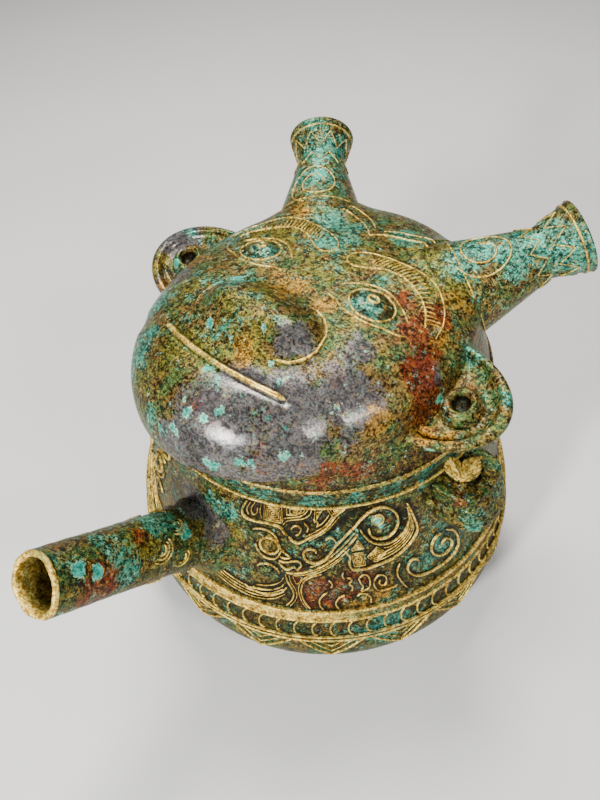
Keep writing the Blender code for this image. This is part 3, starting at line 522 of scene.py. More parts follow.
# One quarter of the shoulder's ornament: a dragon between the spout and a lug, laid out as angle in
# degrees from +X and height; the other three quarters mirror it. Each line has its width first.
BOLD = 1.1
PLAIN = 0.75
FINE = 0.38
DRAGON_LINES = (
    (BOLD, ((-52, 92.7), (-52.3, 94.7), (-53.3, 95.4), (-54.6, 95), (-55.6, 93), (-55.4, 90.3),
        (-54.2, 88.4), (-52.5, 87.9), (-50.8, 88.5), (-49.3, 90.4), (-47.9, 93.3), (-46.2, 97.3),
        (-43.3, 102), (-41, 105.5), (-38.5, 109.5), (-36, 112), (-33.8, 112.9), (-31.5, 112.1),
        (-29.6, 110), (-28.2, 107), (-27.7, 103.5), (-28.3, 100), (-29.8, 97.5), (-31.5, 96.5),
        (-33.5, 96.8), (-35.2, 98), (-36.3, 100), (-36.7, 103.2))),
    (PLAIN, ((-49.3, 99.5), (-48.7, 100.9), (-47.9, 101.4), (-46.9, 100.3), (-46.2, 98.2))),
    (PLAIN, ((-39.2, 103.5), (-38.3, 100.5), (-36.8, 97), (-34.8, 94.5), (-32, 93), (-29.5, 93.2),
        (-27, 94.8), (-25.5, 97), (-24.5, 100), (-24, 103), (-24.2, 107))),
    (BOLD, ((-44, 93.5), (-42.5, 90.2), (-42.8, 87), (-42.3, 84), (-41.3, 82.7), (-38, 82.3), (-34, 83.2),
        (-30, 84.2), (-26, 87), (-23.5, 90), (-22, 93), (-21.8, 96.5), (-22.5, 101), (-23.5, 106),
        (-24.5, 110))),
    (PLAIN, ((-39.8, 101.5), (-43, 96), (-46.5, 90.8), (-49.5, 86.9), (-52, 84.6), (-55, 82.6),
        (-58, 81.3), (-61, 80.8))),
    (FINE, ((-42.5, 94.5), (-46, 89.2), (-49.5, 85.3), (-52.5, 82.8), (-55.5, 80.8), (-59, 79.6))),
    (FINE, ((-44.5, 90), (-47.5, 86.2), (-50, 83.6), (-52.7, 81.4), (-55.2, 79.2), (-56.3, 76.8))),
    (BOLD, ((-43, 116), (-46, 112.5), (-48.5, 107.3), (-50.3, 104.8), (-52.5, 102.6), (-54.8, 100.4),
        (-56.7, 98.4), (-58.3, 98.6), (-59.9, 100.8))),
    (FINE, ((-46.8, 112.6), (-49, 108), (-51, 105.6), (-53.2, 103.4), (-55.4, 101.2))),
    (FINE, ((-45, 111.8), (-47.8, 106.6), (-49.8, 103.8), (-52, 101.6), (-54.2, 99.2))),
    (FINE, ((-47.8, 113.4), (-49.6, 109.4), (-51.6, 107))),
    (BOLD, ((-72.5, 114.6), (-74, 109.8), (-73.7, 106.6), (-71.5, 105.4), (-67, 105.9), (-64, 106),
        (-62.2, 105.2), (-61.2, 103), (-60.2, 101))),
    (FINE, ((-71.3, 114.6), (-72.6, 110.2), (-72, 107.4))),
    (FINE, ((-70, 114.8), (-71.2, 111), (-70.6, 108.4), (-69.4, 109.6), (-69.2, 112.4))),
    (FINE, ((-67.9, 115.2), (-68.4, 111.2), (-67.8, 107.2))),
    (FINE, ((-62.6, 107.2), (-61.2, 109.8), (-58.6, 111), (-56.2, 112), (-54.5, 114.2), (-54.1, 116))),
    (FINE, ((-61.6, 106.4), (-60.2, 108.8), (-57.8, 110), (-55.2, 111), (-53.4, 113.4), (-53, 116))),
    (PLAIN, ((-59.2, 104.3), (-58.6, 106.3), (-57.3, 107), (-56.2, 105.5), (-56.8, 103), (-58, 101.6))),
    (PLAIN, ((-55.4, 108.8), (-54.4, 107.3), (-54.2, 105.5), (-54.8, 103.8))),
    (PLAIN, ((-52.8, 110.9), (-51.5, 109.5), (-51.4, 107.8), (-51.9, 106.3))),
    (PLAIN, ((-71, 100.3), (-69.8, 101.5), (-67.5, 102.3), (-65.2, 101.7), (-63.6, 99.4), (-62.9, 96.5),
        (-62.3, 94), (-61, 91.6), (-59.4, 89.8), (-61, 88.8), (-62.7, 89.3))),
    (PLAIN, ((-69.9, 93.5), (-69.1, 90), (-67.2, 87.4), (-65, 87), (-63.3, 88.6), (-62.5, 91.2),
        (-61.8, 93.4))),
    (PLAIN, ((-63, 87), (-61.8, 86.7), (-60.2, 87), (-58.7, 87.9), (-57.2, 88), (-56.4, 86.3),
        (-56.8, 84.7), (-57.5, 83.3), (-58.3, 84.6), (-59.2, 84), (-60, 82.9), (-61, 82.9), (-62.3, 84.8),
        (-63, 87))),
    (PLAIN, ((-69.6, 80.5), (-68.6, 82.6), (-67, 83.6), (-65, 83.6), (-63.3, 81.8), (-62.6, 79.2))),
    (PLAIN, ((-61, 80), (-60.4, 76), (-59.2, 72.5), (-58.7, 68.5), (-59.5, 64.8), (-61, 61.6))),
    (PLAIN, ((-50.5, 81.6), (-53.4, 80.2), (-55.6, 77.2), (-56.5, 73), (-56.3, 68.5), (-55.4, 64.5),
        (-54, 61.2))),
    (FINE, ((-60, 79.6), (-59.5, 75.8), (-58.3, 72.3), (-57.8, 68.5), (-58.5, 64.8), (-59.9, 61.4))),
    (FINE, ((-51, 82.8), (-54.4, 80.6), (-56.4, 77.2), (-57.3, 73), (-57, 68.3), (-56.2, 64.4),
        (-55, 61.2))),
    (FINE, ((-58.9, 79), (-57.7, 75.2), (-56.2, 78.8))),
    (FINE, ((-61.5, 78), (-62.5, 75), (-64.5, 72.5), (-67, 70.9), (-70, 69.8))),
    (PLAIN, ((-60.6, 72.6), (-62.3, 69), (-64.5, 67), (-67, 65.9), (-70.5, 66.2), (-73.5, 68))),
    (FINE, ((-61, 75.2), (-62.6, 71.6), (-65, 69.4), (-68, 68.2), (-71, 68))),
    (PLAIN, ((-48.8, 78), (-48, 76.5), (-47.9, 75), (-48.4, 73.5))),
    (PLAIN, ((-44.6, 82), (-44.9, 80), (-44.3, 77.8))),
    (PLAIN, ((-43.8, 78.5), (-42.8, 78.3), (-42.4, 76.8), (-43.2, 75.2), (-42.4, 74), (-42.2, 72),
        (-42.9, 70.7))),
    (PLAIN, ((-49, 71.5), (-50.5, 69.5), (-51.5, 66.5), (-51.3, 63), (-50.4, 61))),
    (PLAIN, ((-44.3, 69.2), (-46, 67.8), (-47, 65), (-46.8, 62.6), (-46, 61))),
    (PLAIN, ((-40.4, 77.6), (-39, 79), (-37.7, 78), (-37.2, 75), (-37.4, 72), (-38.2, 70.6),
        (-39.8, 70.2), (-39.2, 72.3), (-39.8, 74.4), (-40.4, 77.6))),
    (PLAIN, ((-41.2, 67.2), (-40, 68.8), (-38.3, 67.8), (-37.2, 65), (-37.3, 61.8))),
    (PLAIN, ((-28.9, 68), (-32.5, 67.6), (-34.5, 68), (-35.6, 69.8), (-36.1, 72.5), (-35.8, 75),
        (-34.8, 76.8), (-33.6, 76.6), (-32.6, 75), (-32.4, 72.5), (-32.9, 70.8), (-34, 71), (-34.6, 72.5),
        (-34.2, 73.8))),
    (PLAIN, ((-28, 79.7), (-28.9, 77), (-29, 73.5), (-28.2, 70), (-27.3, 66.8), (-26, 63.6))),
    (BOLD, ((-21.8, 75.8), (-22.8, 78.2), (-24.2, 79), (-25.4, 77.4), (-25.8, 74.8), (-25.2, 72.2),
        (-24, 69.8), (-22, 67.9), (-19, 66.9), (-15, 66.5), (-11, 66.9), (-8.5, 68.3), (-7.4, 71),
        (-7.3, 74.5), (-8, 78.2), (-9.3, 81.6), (-11.4, 84))),
    (BOLD, ((-13.2, 84.4), (-15.4, 84.4), (-16.9, 82.4), (-17.5, 79.5), (-17.2, 76.6), (-16.2, 74.2),
        (-14.5, 72.3), (-12.5, 71.7), (-10.6, 72.4), (-9.8, 74.2), (-10.2, 76.8), (-11.3, 79),
        (-12.6, 79.7), (-13.4, 78.6), (-13.5, 76.8))),
)

# Bosses: angle, height, radius, rise, and the radius of the ring round it, or 0
DRAGON_BOSSES = (
    (-65.6, 94.3, 3, 2.2, 4.1),
    (-66.4, 79.4, 3.3, 2, 0),
    (-33.8, 106.3, 2.2, 1.5, 0),
    (-33.1, 103, 1.5, 1.2, 0),
    (-44, 65.6, 3, 1.4, 0),
    (-39.2, 65, 2.3, 1.2, 0),
    (-12, 75.6, 1.9, 1.1, 0),
    (-38.8, 74.8, 1.2, 0.9, 0),
)

# Width and lift of that ring
BOSS_RING = (1.2, 1.3)

# Hollows beside the main scrolls
DRAGON_GROOVES = (
    ((-60, 82.6), (-56, 84), (-52, 86), (-48.5, 90), (-45.5, 95), (-42.5, 99.6), (-40, 103.2), (-38, 107)),
    ((-37.6, 103), (-37.4, 99.6), (-35.6, 96.4), (-32.6, 94.7), (-29.4, 95.2), (-26.6, 98), (-26, 103),
        (-26.8, 108)),
    ((-50, 100), (-47, 103.8), (-44, 108.6), (-40.6, 113), (-36, 115.2)),
)

# Nested squares and triangles: corners and how many loops
MEANDERS = (
    (((-61.6, 107.4), (-67.2, 107.4), (-67, 115.4), (-61.8, 115.4)), 5),
    (((-60.3, 116), (-60.3, 112), (-57.5, 112.4), (-55.2, 114.2), (-55, 116)), 3),
    (((-48.6, 116.2), (-42.6, 116.2), (-47.4, 112.6)), 3),
    (((-42.2, 93.2), (-40, 98.2), (-38.4, 93.4)), 3),
    (((-42, 91.4), (-38.6, 91.4), (-38.2, 84.2), (-41.4, 84.4)), 4),
    (((-37.6, 88.2), (-34.8, 84.6), (-32, 88.4), (-34.6, 92.6)), 4),
    (((-52.4, 108.6), (-50.6, 113.6), (-49.8, 115.8), (-52, 115.8)), 2),
)

# Fields of fine lines between two edges: points of either edge and how many lines
DRAGON_FANS = (
    (((-37, 82.9), (-33, 83.9), (-29.4, 85.2), (-26, 87.6), (-23.8, 90.6), (-22.5, 94), (-22.6, 98),
        (-23.5, 103), (-24.4, 108)), ((-31.4, 92.9), (-30, 92.6), (-28.4, 93.4), (-26.8, 94.8),
        (-25.6, 96.8), (-24.9, 99.2), (-24.6, 101.8), (-24.5, 104.6), (-24.6, 108.2)), 4),
    (((-41, 104.4), (-44.6, 98.6), (-48, 93), (-51.4, 88.8), (-55, 86.2)), ((-39.8, 101.5), (-43, 96),
        (-46.5, 90.8), (-49.5, 86.9), (-53, 84)), 1),
    (((-62, 74), (-66, 70.4), (-71, 69), (-77, 70.2), (-83, 73)), ((-60.8, 67), (-64.5, 62.6),
        (-70, 60.4), (-77, 61.2), (-84, 64.4)), 4),
)

# Spirals: width of line, angle and height of the middle, outer and inner radius, turns and start
DRAGON_SPIRALS = ((PLAIN, -33.9, 106.4, 2.9, 0.5, -2.2, 120.0), (FINE, -40.1, 88.0, 2.0, 0.3, 1.8, 200.0))

# What runs right round the belly. Crescents and marks are points as degrees and height, a triangle
# is half its top in degrees, top and tip, and level lines are height, width and lift.
CRESCENTS = 72
CRESCENT = ((1.3, 53.2), (0.2, 50.6), (0.0, 47.6), (0.5, 45.3), (1.7, 44.2))
BAND_MARKS = 110
BAND_MARKS_FROM = -42.0
BAND_MARKS_STEP = 2.4
BAND_MARK = ((0.0, 58.3), (0.7, 57.5), (0.0, 56.7), (0.7, 55.9))
TRIANGLES = 18
TRIANGLE = (9.4, 40.6, 28.6)
TRIANGLE_INSETS = ((0.0, PLAIN), (2.4, FINE), (4.6, FINE))
GIRDLE_CORDS = ((54.7, 1.5, 1.9), (59.4, 1.4, 1.8), (CORD_HEIGHT + 1.1, 0.8, 1.5),
                (CORD_HEIGHT - 1.1, 0.8, 1.5), (116.1, 1.0, 1.0))
GIRDLE_STEP = 0.6

# Wear of the band: angle from +X at which it is most rubbed, least and most wear; how dark the ground
# is below it, beside it and the cord, and above it, painted shade in the creases beside the band and
# the cord and dirt with painted shade elsewhere; and where the ornamented part of the body ends
BAND_WEAR = (82.0, 0.25, 0.62)
DARK_BELOW = 0.45
DARK_BESIDE = 0.35
DARK_ABOVE = 0.18
ORNAMENT_BOTTOM = 40.0

# Lift of a raised line: share of its width, and what is added
ORNAMENT_LIFT = (0.85, 0.35)
GIRDLE_LIFT = (0.8, 0.3)

# Ground of the ornament: size of its cells in degrees and height, lowest and highest, and how far
# bold lines, fine lines and hollows shape it
CELL_ANGLE = 0.5
CELL_HEIGHT = 0.6
GROUND_HEIGHTS = (60.0, 117.0)
BOLD_REACH = 2.4
FINE_REACH = 2.0
GROOVE_REACH = 2.6


def in_quarter(path, side, end):
    """A path of the measured quarter, mirrored left or to the back in flat millimetres."""
    path = np.array(path, float)
    if side < 0.0:
        path[:, 0] = -180.0 * DEGREE - path[:, 0]
    if end < 0.0:
        path[:, 0] = -path[:, 0]
    return path


def dragon_paths():
    """Width and points of every raised line in the measured quarter."""
    paths = [(width, smooth_path(flat(points), 0.55)) for width, points in DRAGON_LINES]
    for corners, count in MEANDERS:
        paths += [(FINE, loop) for loop in nested(flat(corners), count)]
    for *edges, count in DRAGON_FANS:
        first, last = [resampled(smooth_path(flat(edge), 0.4), 60) for edge in edges]
        for index in range(1, count + 1):
            share = index / (count + 1.0)
            paths.append((FINE, first * (1.0 - share) + last * share))
    for width, angle, height, *winding in DRAGON_SPIRALS:
        paths.append((width, spiral((angle * DEGREE, height), *winding, 0.35)))
    return paths


def girdle_paths():
    """Crescents, hanging triangles and marks on the band, all round the belly."""
    paths = []
    for index in range(CRESCENTS):
        angle = -90.0 + 360.0 / CRESCENTS * index + 1.2
        crescent = [(angle + out, height) for out, height in CRESCENT]
        paths.append((PLAIN, smooth_path(flat(crescent), GIRDLE_STEP)))
    for index in range(TRIANGLES):
        angle = -88.6 + 360.0 / TRIANGLES * index
        for inset, width in TRIANGLE_INSETS:
            half = TRIANGLE[0] - 1.35 * inset
            top = TRIANGLE[1] - 0.1 * inset
            tip = TRIANGLE[2] + 1.7 * inset
            sides = ((angle - half, top), (angle, tip), (angle + half, top))
            paths.append((width, even_path(flat(sides), GIRDLE_STEP)))
    for index in range(BAND_MARKS):
        angle = BAND_MARKS_FROM + BAND_MARKS_STEP * index
        mark = [(angle + out, height) for out, height in BAND_MARK]
        paths.append((FINE, even_path(flat(mark), GIRDLE_STEP)))
    return paths


def nearness(lines, columns, rows, reach):
    """For a flat grid, how near each place is to the nearest of some paths, from 0 to 1."""
    points = np.concatenate(lines)
    tree = KDTree(len(points))
    for index, (u, v) in enumerate(points):
        tree.insert((u, v, 0.0), index)
    tree.balance()
    found = np.array([[tree.find((u, v, 0.0))[2] for u in columns] for v in rows])
    return np.clip(1.0 - found / reach, 0.0, 1.0)


def folded(angle):
    """Angles brought into the measured quarter, -90 to 0 degrees."""
    angle = (np.asarray(angle) + 180.0) % 360.0 - 180.0
    angle = -np.abs(angle)
    return np.where(angle < -90.0, -180.0 - angle, angle)


class QuarterMap:
    """Relief of one quarter on an even grid, with its ground darkened near the lines by dirt and painted
    shade, looked up by angle and height.
    """

    def __init__(self, paths):
        self.u = np.arange(-90.0, 0.01, CELL_ANGLE) * DEGREE
        self.v = np.arange(*GROUND_HEIGHTS, CELL_HEIGHT)
        bold = [path for width, path in paths if width > FINE]
        fine = [path for width, path in paths if width <= FINE]
        grooves = [smooth_path(flat(points), 0.8) for points in DRAGON_GROOVES]
        near_bold = nearness(bold, self.u, self.v, BOLD_REACH)
        near_fine = nearness(fine, self.u, self.v, FINE_REACH)
        near_groove = nearness(grooves, self.u, self.v, GROOVE_REACH)
        self.relief = 0.35 * near_bold ** 2 + 0.20 * near_fine - near_groove ** 1.5
        # Ground near bold and fine lines and in the hollows is darkened: dirt in the hollows and painted
        # shade at the foot of the ridges.
        self.wear_and_shade = -np.maximum(near_bold, np.maximum(near_fine, near_groove)) ** 0.8

    def read(self, table, angle, height):
        """Value of a table at angles and heights, 0 outside the ornament's field."""
        column, across = self.cell(self.u, folded(angle) * DEGREE)
        row, up = self.cell(self.v, height)
        lower = table[row, column] * (1 - across) + table[row, column + 1] * across
        upper = table[row + 1, column] * (1 - across) + table[row + 1, column + 1] * across
        inside = (height > self.v[0]) & (height < self.v[-1])
        return np.where(inside, lower * (1 - up) + upper * up, 0.0)

    @staticmethod
    def cell(marks, value):
        """Index of the mark below each value, and the share of the way to the next one."""
        place = np.clip((value - marks[0]) / (marks[1] - marks[0]), 0.0, len(marks) - 1.001)
        index = place.astype(int)
        return index, place - index


def step_up(value, low, high):
    """Smooth step from 0 to 1."""
    share = np.clip((value - low) / (high - low), 0.0, 1.0)
    return share * share * (3.0 - 2.0 * share)


def girdle_band(height):
    """Share of the flat raised band that runs round the body above the crescents."""
    low = step_up(height, BAND_HEIGHT - BAND_FOOT, BAND_HEIGHT - BAND_TOP)
    high = step_up(-height, -BAND_HEIGHT - BAND_FOOT, -BAND_HEIGHT - BAND_TOP)
    return low * high


def girdle_relief(height):
    """Raised band and cord that run round the body."""
    cord = np.clip(1.0 - ((height - CORD_HEIGHT) / CORD_HALF_WIDTH) ** 2, 0.0, 1.0) ** 0.5
    return BAND_RELIEF * girdle_band(height) + CORD_RELIEF * cord


def girdle_wear_and_shade(angle, height):
    """Rubbed band, most by the spout and opposite it; painted shade in the creases beside it and the cord,
    and ground below and above it darkened by dirt and painted shade.
    """
    most_worn, least, most = BAND_WEAR
    front = np.clip(1.60 - np.abs(np.abs(angle) - most_worn) / 32.0, least, most)
    from_band = np.abs(height - BAND_HEIGHT)
    beside = (from_band < 4.2) & (from_band > 3.0)
    between = np.abs(height - CORD_HEIGHT) < 2.2
    below = (height < BAND_HEIGHT - 3.0) & (height > ORNAMENT_BOTTOM)
    above = height > BAND_HEIGHT + 4.0
    rubbed = front * girdle_band(height)
    # Painted shade beside the band and between the cords; dirt and painted shade darken the ground below and
    # above.
    return rubbed - DARK_BELOW * below - DARK_BESIDE * (beside | between) - DARK_ABOVE * above


def add_dome(shape, u, v, radius, rise, skin, mark=0.0):
    """Low round boss on a skin."""
    share = np.linspace(0.02, 1.0, 9)[:, None]
    turn = circle(28)
    sink = 0.2
    lift = rise * np.sqrt(1.0 - share ** 2) - sink + 0.0 * turn
    place = (u + radius * share * np.cos(turn), v + radius * share * np.sin(turn))
    shape.add_grid(skin(*place, lift), mark=mark)


def ring_path(u, v, radius):
    """Points of a ring about half a millimetre apart."""
    turn = circle(int(12.0 * radius) + 12)
    return np.stack([u + radius * np.cos(turn), v + radius * np.sin(turn)], -1)


def body_rows(top, bottom, spacing):
    """Radius and height down the outside of the body at even steps."""
    heights = np.linspace(0.0, 1.0, 400) * (bottom - top) + top
    return even_path(np.stack([body_radius(heights), heights], -1), spacing)


def make_body(finish):
    """Shoulder with its cast ornament in a front and a back half, and the lines round the belly."""
    quarter = dragon_paths()
    field = QuarterMap(quarter)
    heights = body_rows(SHOULDER_HEIGHT, ORNAMENT_BOTTOM, 0.6)[:, 1]
    for name, start, columns in (("shoulder_front", -180.0, 450), ("shoulder_back", 0.0, 300)):
        angle, height = np.meshgrid(np.linspace(start, start + 180.0, columns), heights)
        relief = girdle_relief(height) + field.read(field.relief, angle, height)
        wear_and_shade = field.read(field.wear_and_shade, angle, height) + girdle_wear_and_shade(angle, height)
        shape = Shape()
        shape.add_grid(around(angle, height, relief), False, wear_and_shade)
        shape.piece(name, "vessel", finish)
    for name, end in (("ornament_front", 1.0), ("ornament_back", -1.0)):
        shape = Shape()
        for side in SIDES:
            for width, path in quarter:
                lift = ORNAMENT_LIFT[0] * width + ORNAMENT_LIFT[1]
                add_ridge(shape, in_quarter(path, side, end), width, lift, body_skin)
            for angle, height, radius, rise, ring in DRAGON_BOSSES:
                u, v = in_quarter([(angle * DEGREE, height)], side, end)[0]
                add_dome(shape, u, v, radius, rise, body_skin, -0.2)
                if ring:
                    add_ridge(shape, ring_path(u, v, ring), *BOSS_RING, body_skin, closed=True)
        shape.piece(name, "vessel", finish)
    shape = Shape()
    for width, path in girdle_paths():
        add_ridge(shape, path, width, GIRDLE_LIFT[0] * width + GIRDLE_LIFT[1], body_skin)
    turn = np.linspace(-180.0, 180.0, 721)[:-1] * DEGREE
    for height, width, lift in GIRDLE_CORDS:
        path = np.stack([turn, np.full_like(turn, height)], -1)
        add_ridge(shape, path, width, lift, body_skin, closed=True)
    shape.piece("girdle_lines", "vessel", finish)


def make_lower_body(finish):
    """Belly below the ornament, foot ring, neck, rim and the plain inside."""
    shape = Shape()
    rows = body_rows(ORNAMENT_BOTTOM + 0.2, FOOT_HEIGHT + 0.6, 1.2)
    angle, height = np.meshgrid(np.linspace(0.0, 360.0, 361)[:-1], rows[:, 1])
    shape.add_grid(around(angle, height, 0.0))
    foot = ((FOOT_RADIUS + 0.9, 8.7), (FOOT_RADIUS, 6.5), (FOOT_RADIUS + FOOT_FLARE, 0.0),
            (FOOT_RADIUS + FOOT_FLARE - FOOT_WIDTH, 0.0), (FOOT_RADIUS - FOOT_WIDTH, FOOT_RECESS),
            (0.3, FOOT_RECESS))
    shape.add_grid(turned(rounded(foot, 1.2), 240))
    neck = ((NECK_RADIUS, SHOULDER_HEIGHT + 0.2), (NECK_RADIUS - 0.5, SHOULDER_HEIGHT + 0.8),
            (NECK_RADIUS - 0.5, 119.5), (NECK_RADIUS, 121.0), (NECK_RADIUS, RIM_HEIGHT),
            (NECK_RADIUS - WALL, RIM_HEIGHT), (NECK_RADIUS - WALL, SHOULDER_HEIGHT))
    # The neck is darkened under the lid's overhang: painted shade.
    shape.add_grid(turned(even_path(rounded(neck, 0.9), 0.6), 400), mark=-0.45)
    inner = body_rows(SHOULDER_HEIGHT, 12.0, 3.0) - np.array([WALL, 0.0])
    floor = [(FOOT_RADIUS + 3.0, 9.4), (FOOT_RADIUS - 6.0, FOOT_RECESS + WALL), (0.3, FOOT_RECESS + WALL)]
    shape.add_grid(turned(np.concatenate([inner, floor])[::-1], 120))
    shape.piece("belly_foot_and_inside", "vessel", finish)


def spout_place():
    """Frame of the spout: +Z runs out along it from the middle of its tip."""
    lean = math.radians(90.0 - SPOUT_ANGLE)
    return Matrix.Translation((0.0, -SPOUT_REACH, SPOUT_TIP_HEIGHT)) @ Matrix.Rotation(lean, 4, "X")


def spout_radius(depth):
    """Outer radius of the spout at distances back from its tip."""
    straight = SPOUT_LENGTH - SPOUT_COLLAR_LENGTH
    share = np.clip(depth / (0.5 * straight), 0.0, 2.0) * 0.5
    flare = np.clip((depth - straight) / SPOUT_COLLAR_LENGTH, 0.0, 1.0)
    return SPOUT_TIP_RADIUS + (SPOUT_BASE_RADIUS - SPOUT_TIP_RADIUS) * share + SPOUT_COLLAR * flare ** 2


def spout_skin(u, v, lift):
    """Spout's surface: u runs round it, v runs back from its tip."""
    return moved(polar(spout_radius(v) + lift, -u / SPOUT_BASE_RADIUS, -v), spout_place())


def make_spout(finish):
    """Open tube with a thick worn rim, a collar with a line round it, and groups of arcs."""
    depth = np.linspace(1.6, SPOUT_LENGTH - 3.0, 110)
    collar_lines = sum(rise * np.exp(-((depth - place) / width) ** 2) for rise, place, width in COLLAR_LINES)
    outer = np.stack([spout_radius(depth) + collar_lines, -depth], -1)
    lip = ((SPOUT_BORE_RADIUS - 0.4, -2.8), (SPOUT_BORE_RADIUS - 0.2, -0.9), (SPOUT_BORE_RADIUS + 0.4, 0.0),
           (SPOUT_TIP_RADIUS - 0.3, 0.0), (SPOUT_TIP_RADIUS + 0.1, -1.5))
    lip = rounded(lip, 0.7)
    bore = even_path([(SPOUT_BORE_RADIUS + 1.0, -SPOUT_LENGTH - 4.0), (SPOUT_BORE_RADIUS + 0.4, -40.0),
                      (SPOUT_BORE_RADIUS - 0.4, -2.9)], 2.0)
    worn = np.repeat((0.40, 0.62, 0.0), (len(bore), len(lip), len(outer)))
    points = turned(np.concatenate([bore, lip, outer]), 144)
    turn = np.arctan2(points[..., 1], points[..., 0])
    tip = np.exp(-np.abs(points[..., 2]) / TIP_WEAR_LENGTH)
    points[..., 2] += tip * (0.5 * np.sin(turn * 2.0 + 0.6) + 0.2 * np.sin(turn * 7.0) - 0.7) * TIP_WEAR
    dent = np.sin(7.0 * turn + 0.31 * points[..., 2]) * np.sin(0.53 * points[..., 2] + 3.0 * turn)
    points[..., :2] *= 1.0 + DENT_SHARE * (dent * (points[..., 2] > -DENTED_LENGTH))[..., None]
    shape = Shape()
    shape.add_grid(moved(points, spout_place()), True, worn[:, None])
    for angle, depth, radii in SPOUT_ARCS:
        for radius in radii:
            arc = spiral((-math.radians(angle) * SPOUT_BASE_RADIUS, depth), radius, radius, 0.44, -35.0)
            across = np.array([-math.pi * SPOUT_BASE_RADIUS - arc[:, 0], arc[:, 1]]).T[::-1]
            add_ridge(shape, arc, *SPOUT_LINE, spout_skin)
            add_ridge(shape, across, *SPOUT_LINE, spout_skin)
    shape.piece("spout_tube", "spout", finish)


# How far the worn tip is uneven and how far back, and share and length of the shallow dents
TIP_WEAR = 0.8
TIP_WEAR_LENGTH = 3.0
DENT_SHARE = 0.010
DENTED_LENGTH = 60.0

# Line and groove round the spout's collar: rise, depth from the tip, width
COLLAR_LINES = ((0.9, 65.0, 1.1), (-0.8, 67.6, 1.4))

# Width and height of a raised line on the spout
SPOUT_LINE = (0.8, 0.7)

# Groups of arcs on both sides of the spout: turn from its right side, depth from its tip, radii
SPOUT_ARCS = ((38.0, 45.5, (2.4, 3.9, 5.4)), (12.0, 56.0, (2.2, 3.7)), (70.0, 56.0, (2.4, 3.8)),
              (-40.0, 47.0, (2.4, 3.9)))


def lug_plan(turn, half_width, reach, root):
    """Place in plan on a squared half ring, at turns from -90 to 90 degrees."""
    across = np.sign(np.sin(turn)) * np.abs(np.sin(turn)) ** LUG_SQUARENESS
    out = np.abs(np.cos(turn)) ** LUG_SQUARENESS
    return root + (reach - root) * out, LUG_SETBACK + half_width * across


def make_lugs(finish):
    """Upright strap lugs with a small leaf-eared beast head between each and the neck."""
    turn = np.linspace(-0.5 * math.pi, 0.5 * math.pi, 61)
    thick = LUG_REACH - LUG_HOLE_OUTER
    middle = 0.5 * (LUG_BOTTOM + LUG_TOP)
    section = ((0.0, middle), (0.0, LUG_BOTTOM), (thick, LUG_BOTTOM), (thick, LUG_TOP), (0.0, LUG_TOP),
               (0.0, middle))
    rows = []
    for out, height in even_path(rounded(section, 1.7, 6), 0.45):
        share = out / thick
        reach = LUG_REACH + (LUG_TOP_REACH - LUG_REACH) * (height - LUG_BOTTOM) / (LUG_TOP - LUG_BOTTOM)
        groove = LUG_GROOVE[0] * math.exp(-((height - LUG_GROOVE_HEIGHT) / LUG_GROOVE[1]) ** 2)
        reach -= (groove + 0.25 * math.sin(2.1 * height)) * share
        root = body_radius(height) - LUG_ROOT_DEPTH
        outer = lug_plan(turn, LUG_HALF_WIDTH, reach, root)
        inner = lug_plan(turn, LUG_HOLE_HALF_WIDTH, LUG_HOLE_OUTER, root)
        x = inner[0] + (outer[0] - inner[0]) * share
        y = inner[1] + (outer[1] - inner[1]) * share
        x += 0.22 * np.sin(1.7 * y + height) * share
        rows.append(np.stack([x, y, np.full_like(turn, height)], -1))
    shape = Shape()
    shape.add_grid(np.stack(rows)[::-1], False)
    add_beast_head(shape)
    shape.pair("strap_and_head_{}", "lug_{}", finish)


# Beast head in front of a lug: snout, ears as heading, length and half width, and knobs
SNOUT_PLACE = (79.2, LUG_SETBACK - 7.4, LUG_TOP + 1.2)
SNOUT_RADII = (2.8, 2.2, 1.6)
LEAF_EARS = ((152.0, 5.8, 3.7), (92.0, 6.0, 4.1))
LEAF_THICKNESS = 1.5
LEAF_DROOP = 12.0
KNOB_RADII = (1.9, 1.5, 1.7)


def add_beast_head(shape):
    """Snout, two broad veined leaf ears that meet at its front, and a pair of knobs."""
    apex = Vector(SNOUT_PLACE)
    lobes = [(SNOUT_RADII, Matrix.Translation(apex), 0.0)]
    for heading, length, half in LEAF_EARS:
        heading = math.radians(heading)
        turn = Matrix.Rotation(heading, 4, "Z") @ Matrix.Rotation(math.radians(-LEAF_DROOP), 4, "Y")
        out = Vector((math.cos(heading), math.sin(heading), 0.35))
        place = Matrix.Translation(apex + out * (length - 0.2) + Vector((0.0, 0.0, 0.8))) @ turn
        lobes.append(((length, half, LEAF_THICKNESS), place, 1.0))
    for end in SIDES:
        knob = Matrix.Translation(Vector((72.6, LUG_SETBACK + 16.6 * end, 107.0 + end)))
        lobes.append((KNOB_RADII, knob, 0.4))
    rise = np.linspace(math.pi - 0.02, 0.02, 32)[:, None]
    turn = circle(44)
    for radii, place, leaf in lobes:
        x = np.cos(rise) + 0.0 * turn
        y = np.sin(rise) ** (1.0 + 0.5 * leaf) * np.cos(turn)
        z = np.sin(rise) * np.sin(turn)
        vein = 0.45 * np.exp(-(y / 0.10) ** 2) + 0.22 * np.cos(20.0 * (np.abs(y) - 0.6 * x))
        z = z + np.where(z > 0.0, leaf * vein * np.sin(rise), 0.0)
        # Leaves are rubbed gold on top and along the vein and darker underneath: wear on top, painted shade
        # below.
        wear_and_shade = leaf * np.clip(0.38 + 0.5 * z + 1.2 * vein, -0.7, 1.0)
        shape.add_grid(moved(np.stack([x, y, z], -1) * radii, place), True, wear_and_shade)


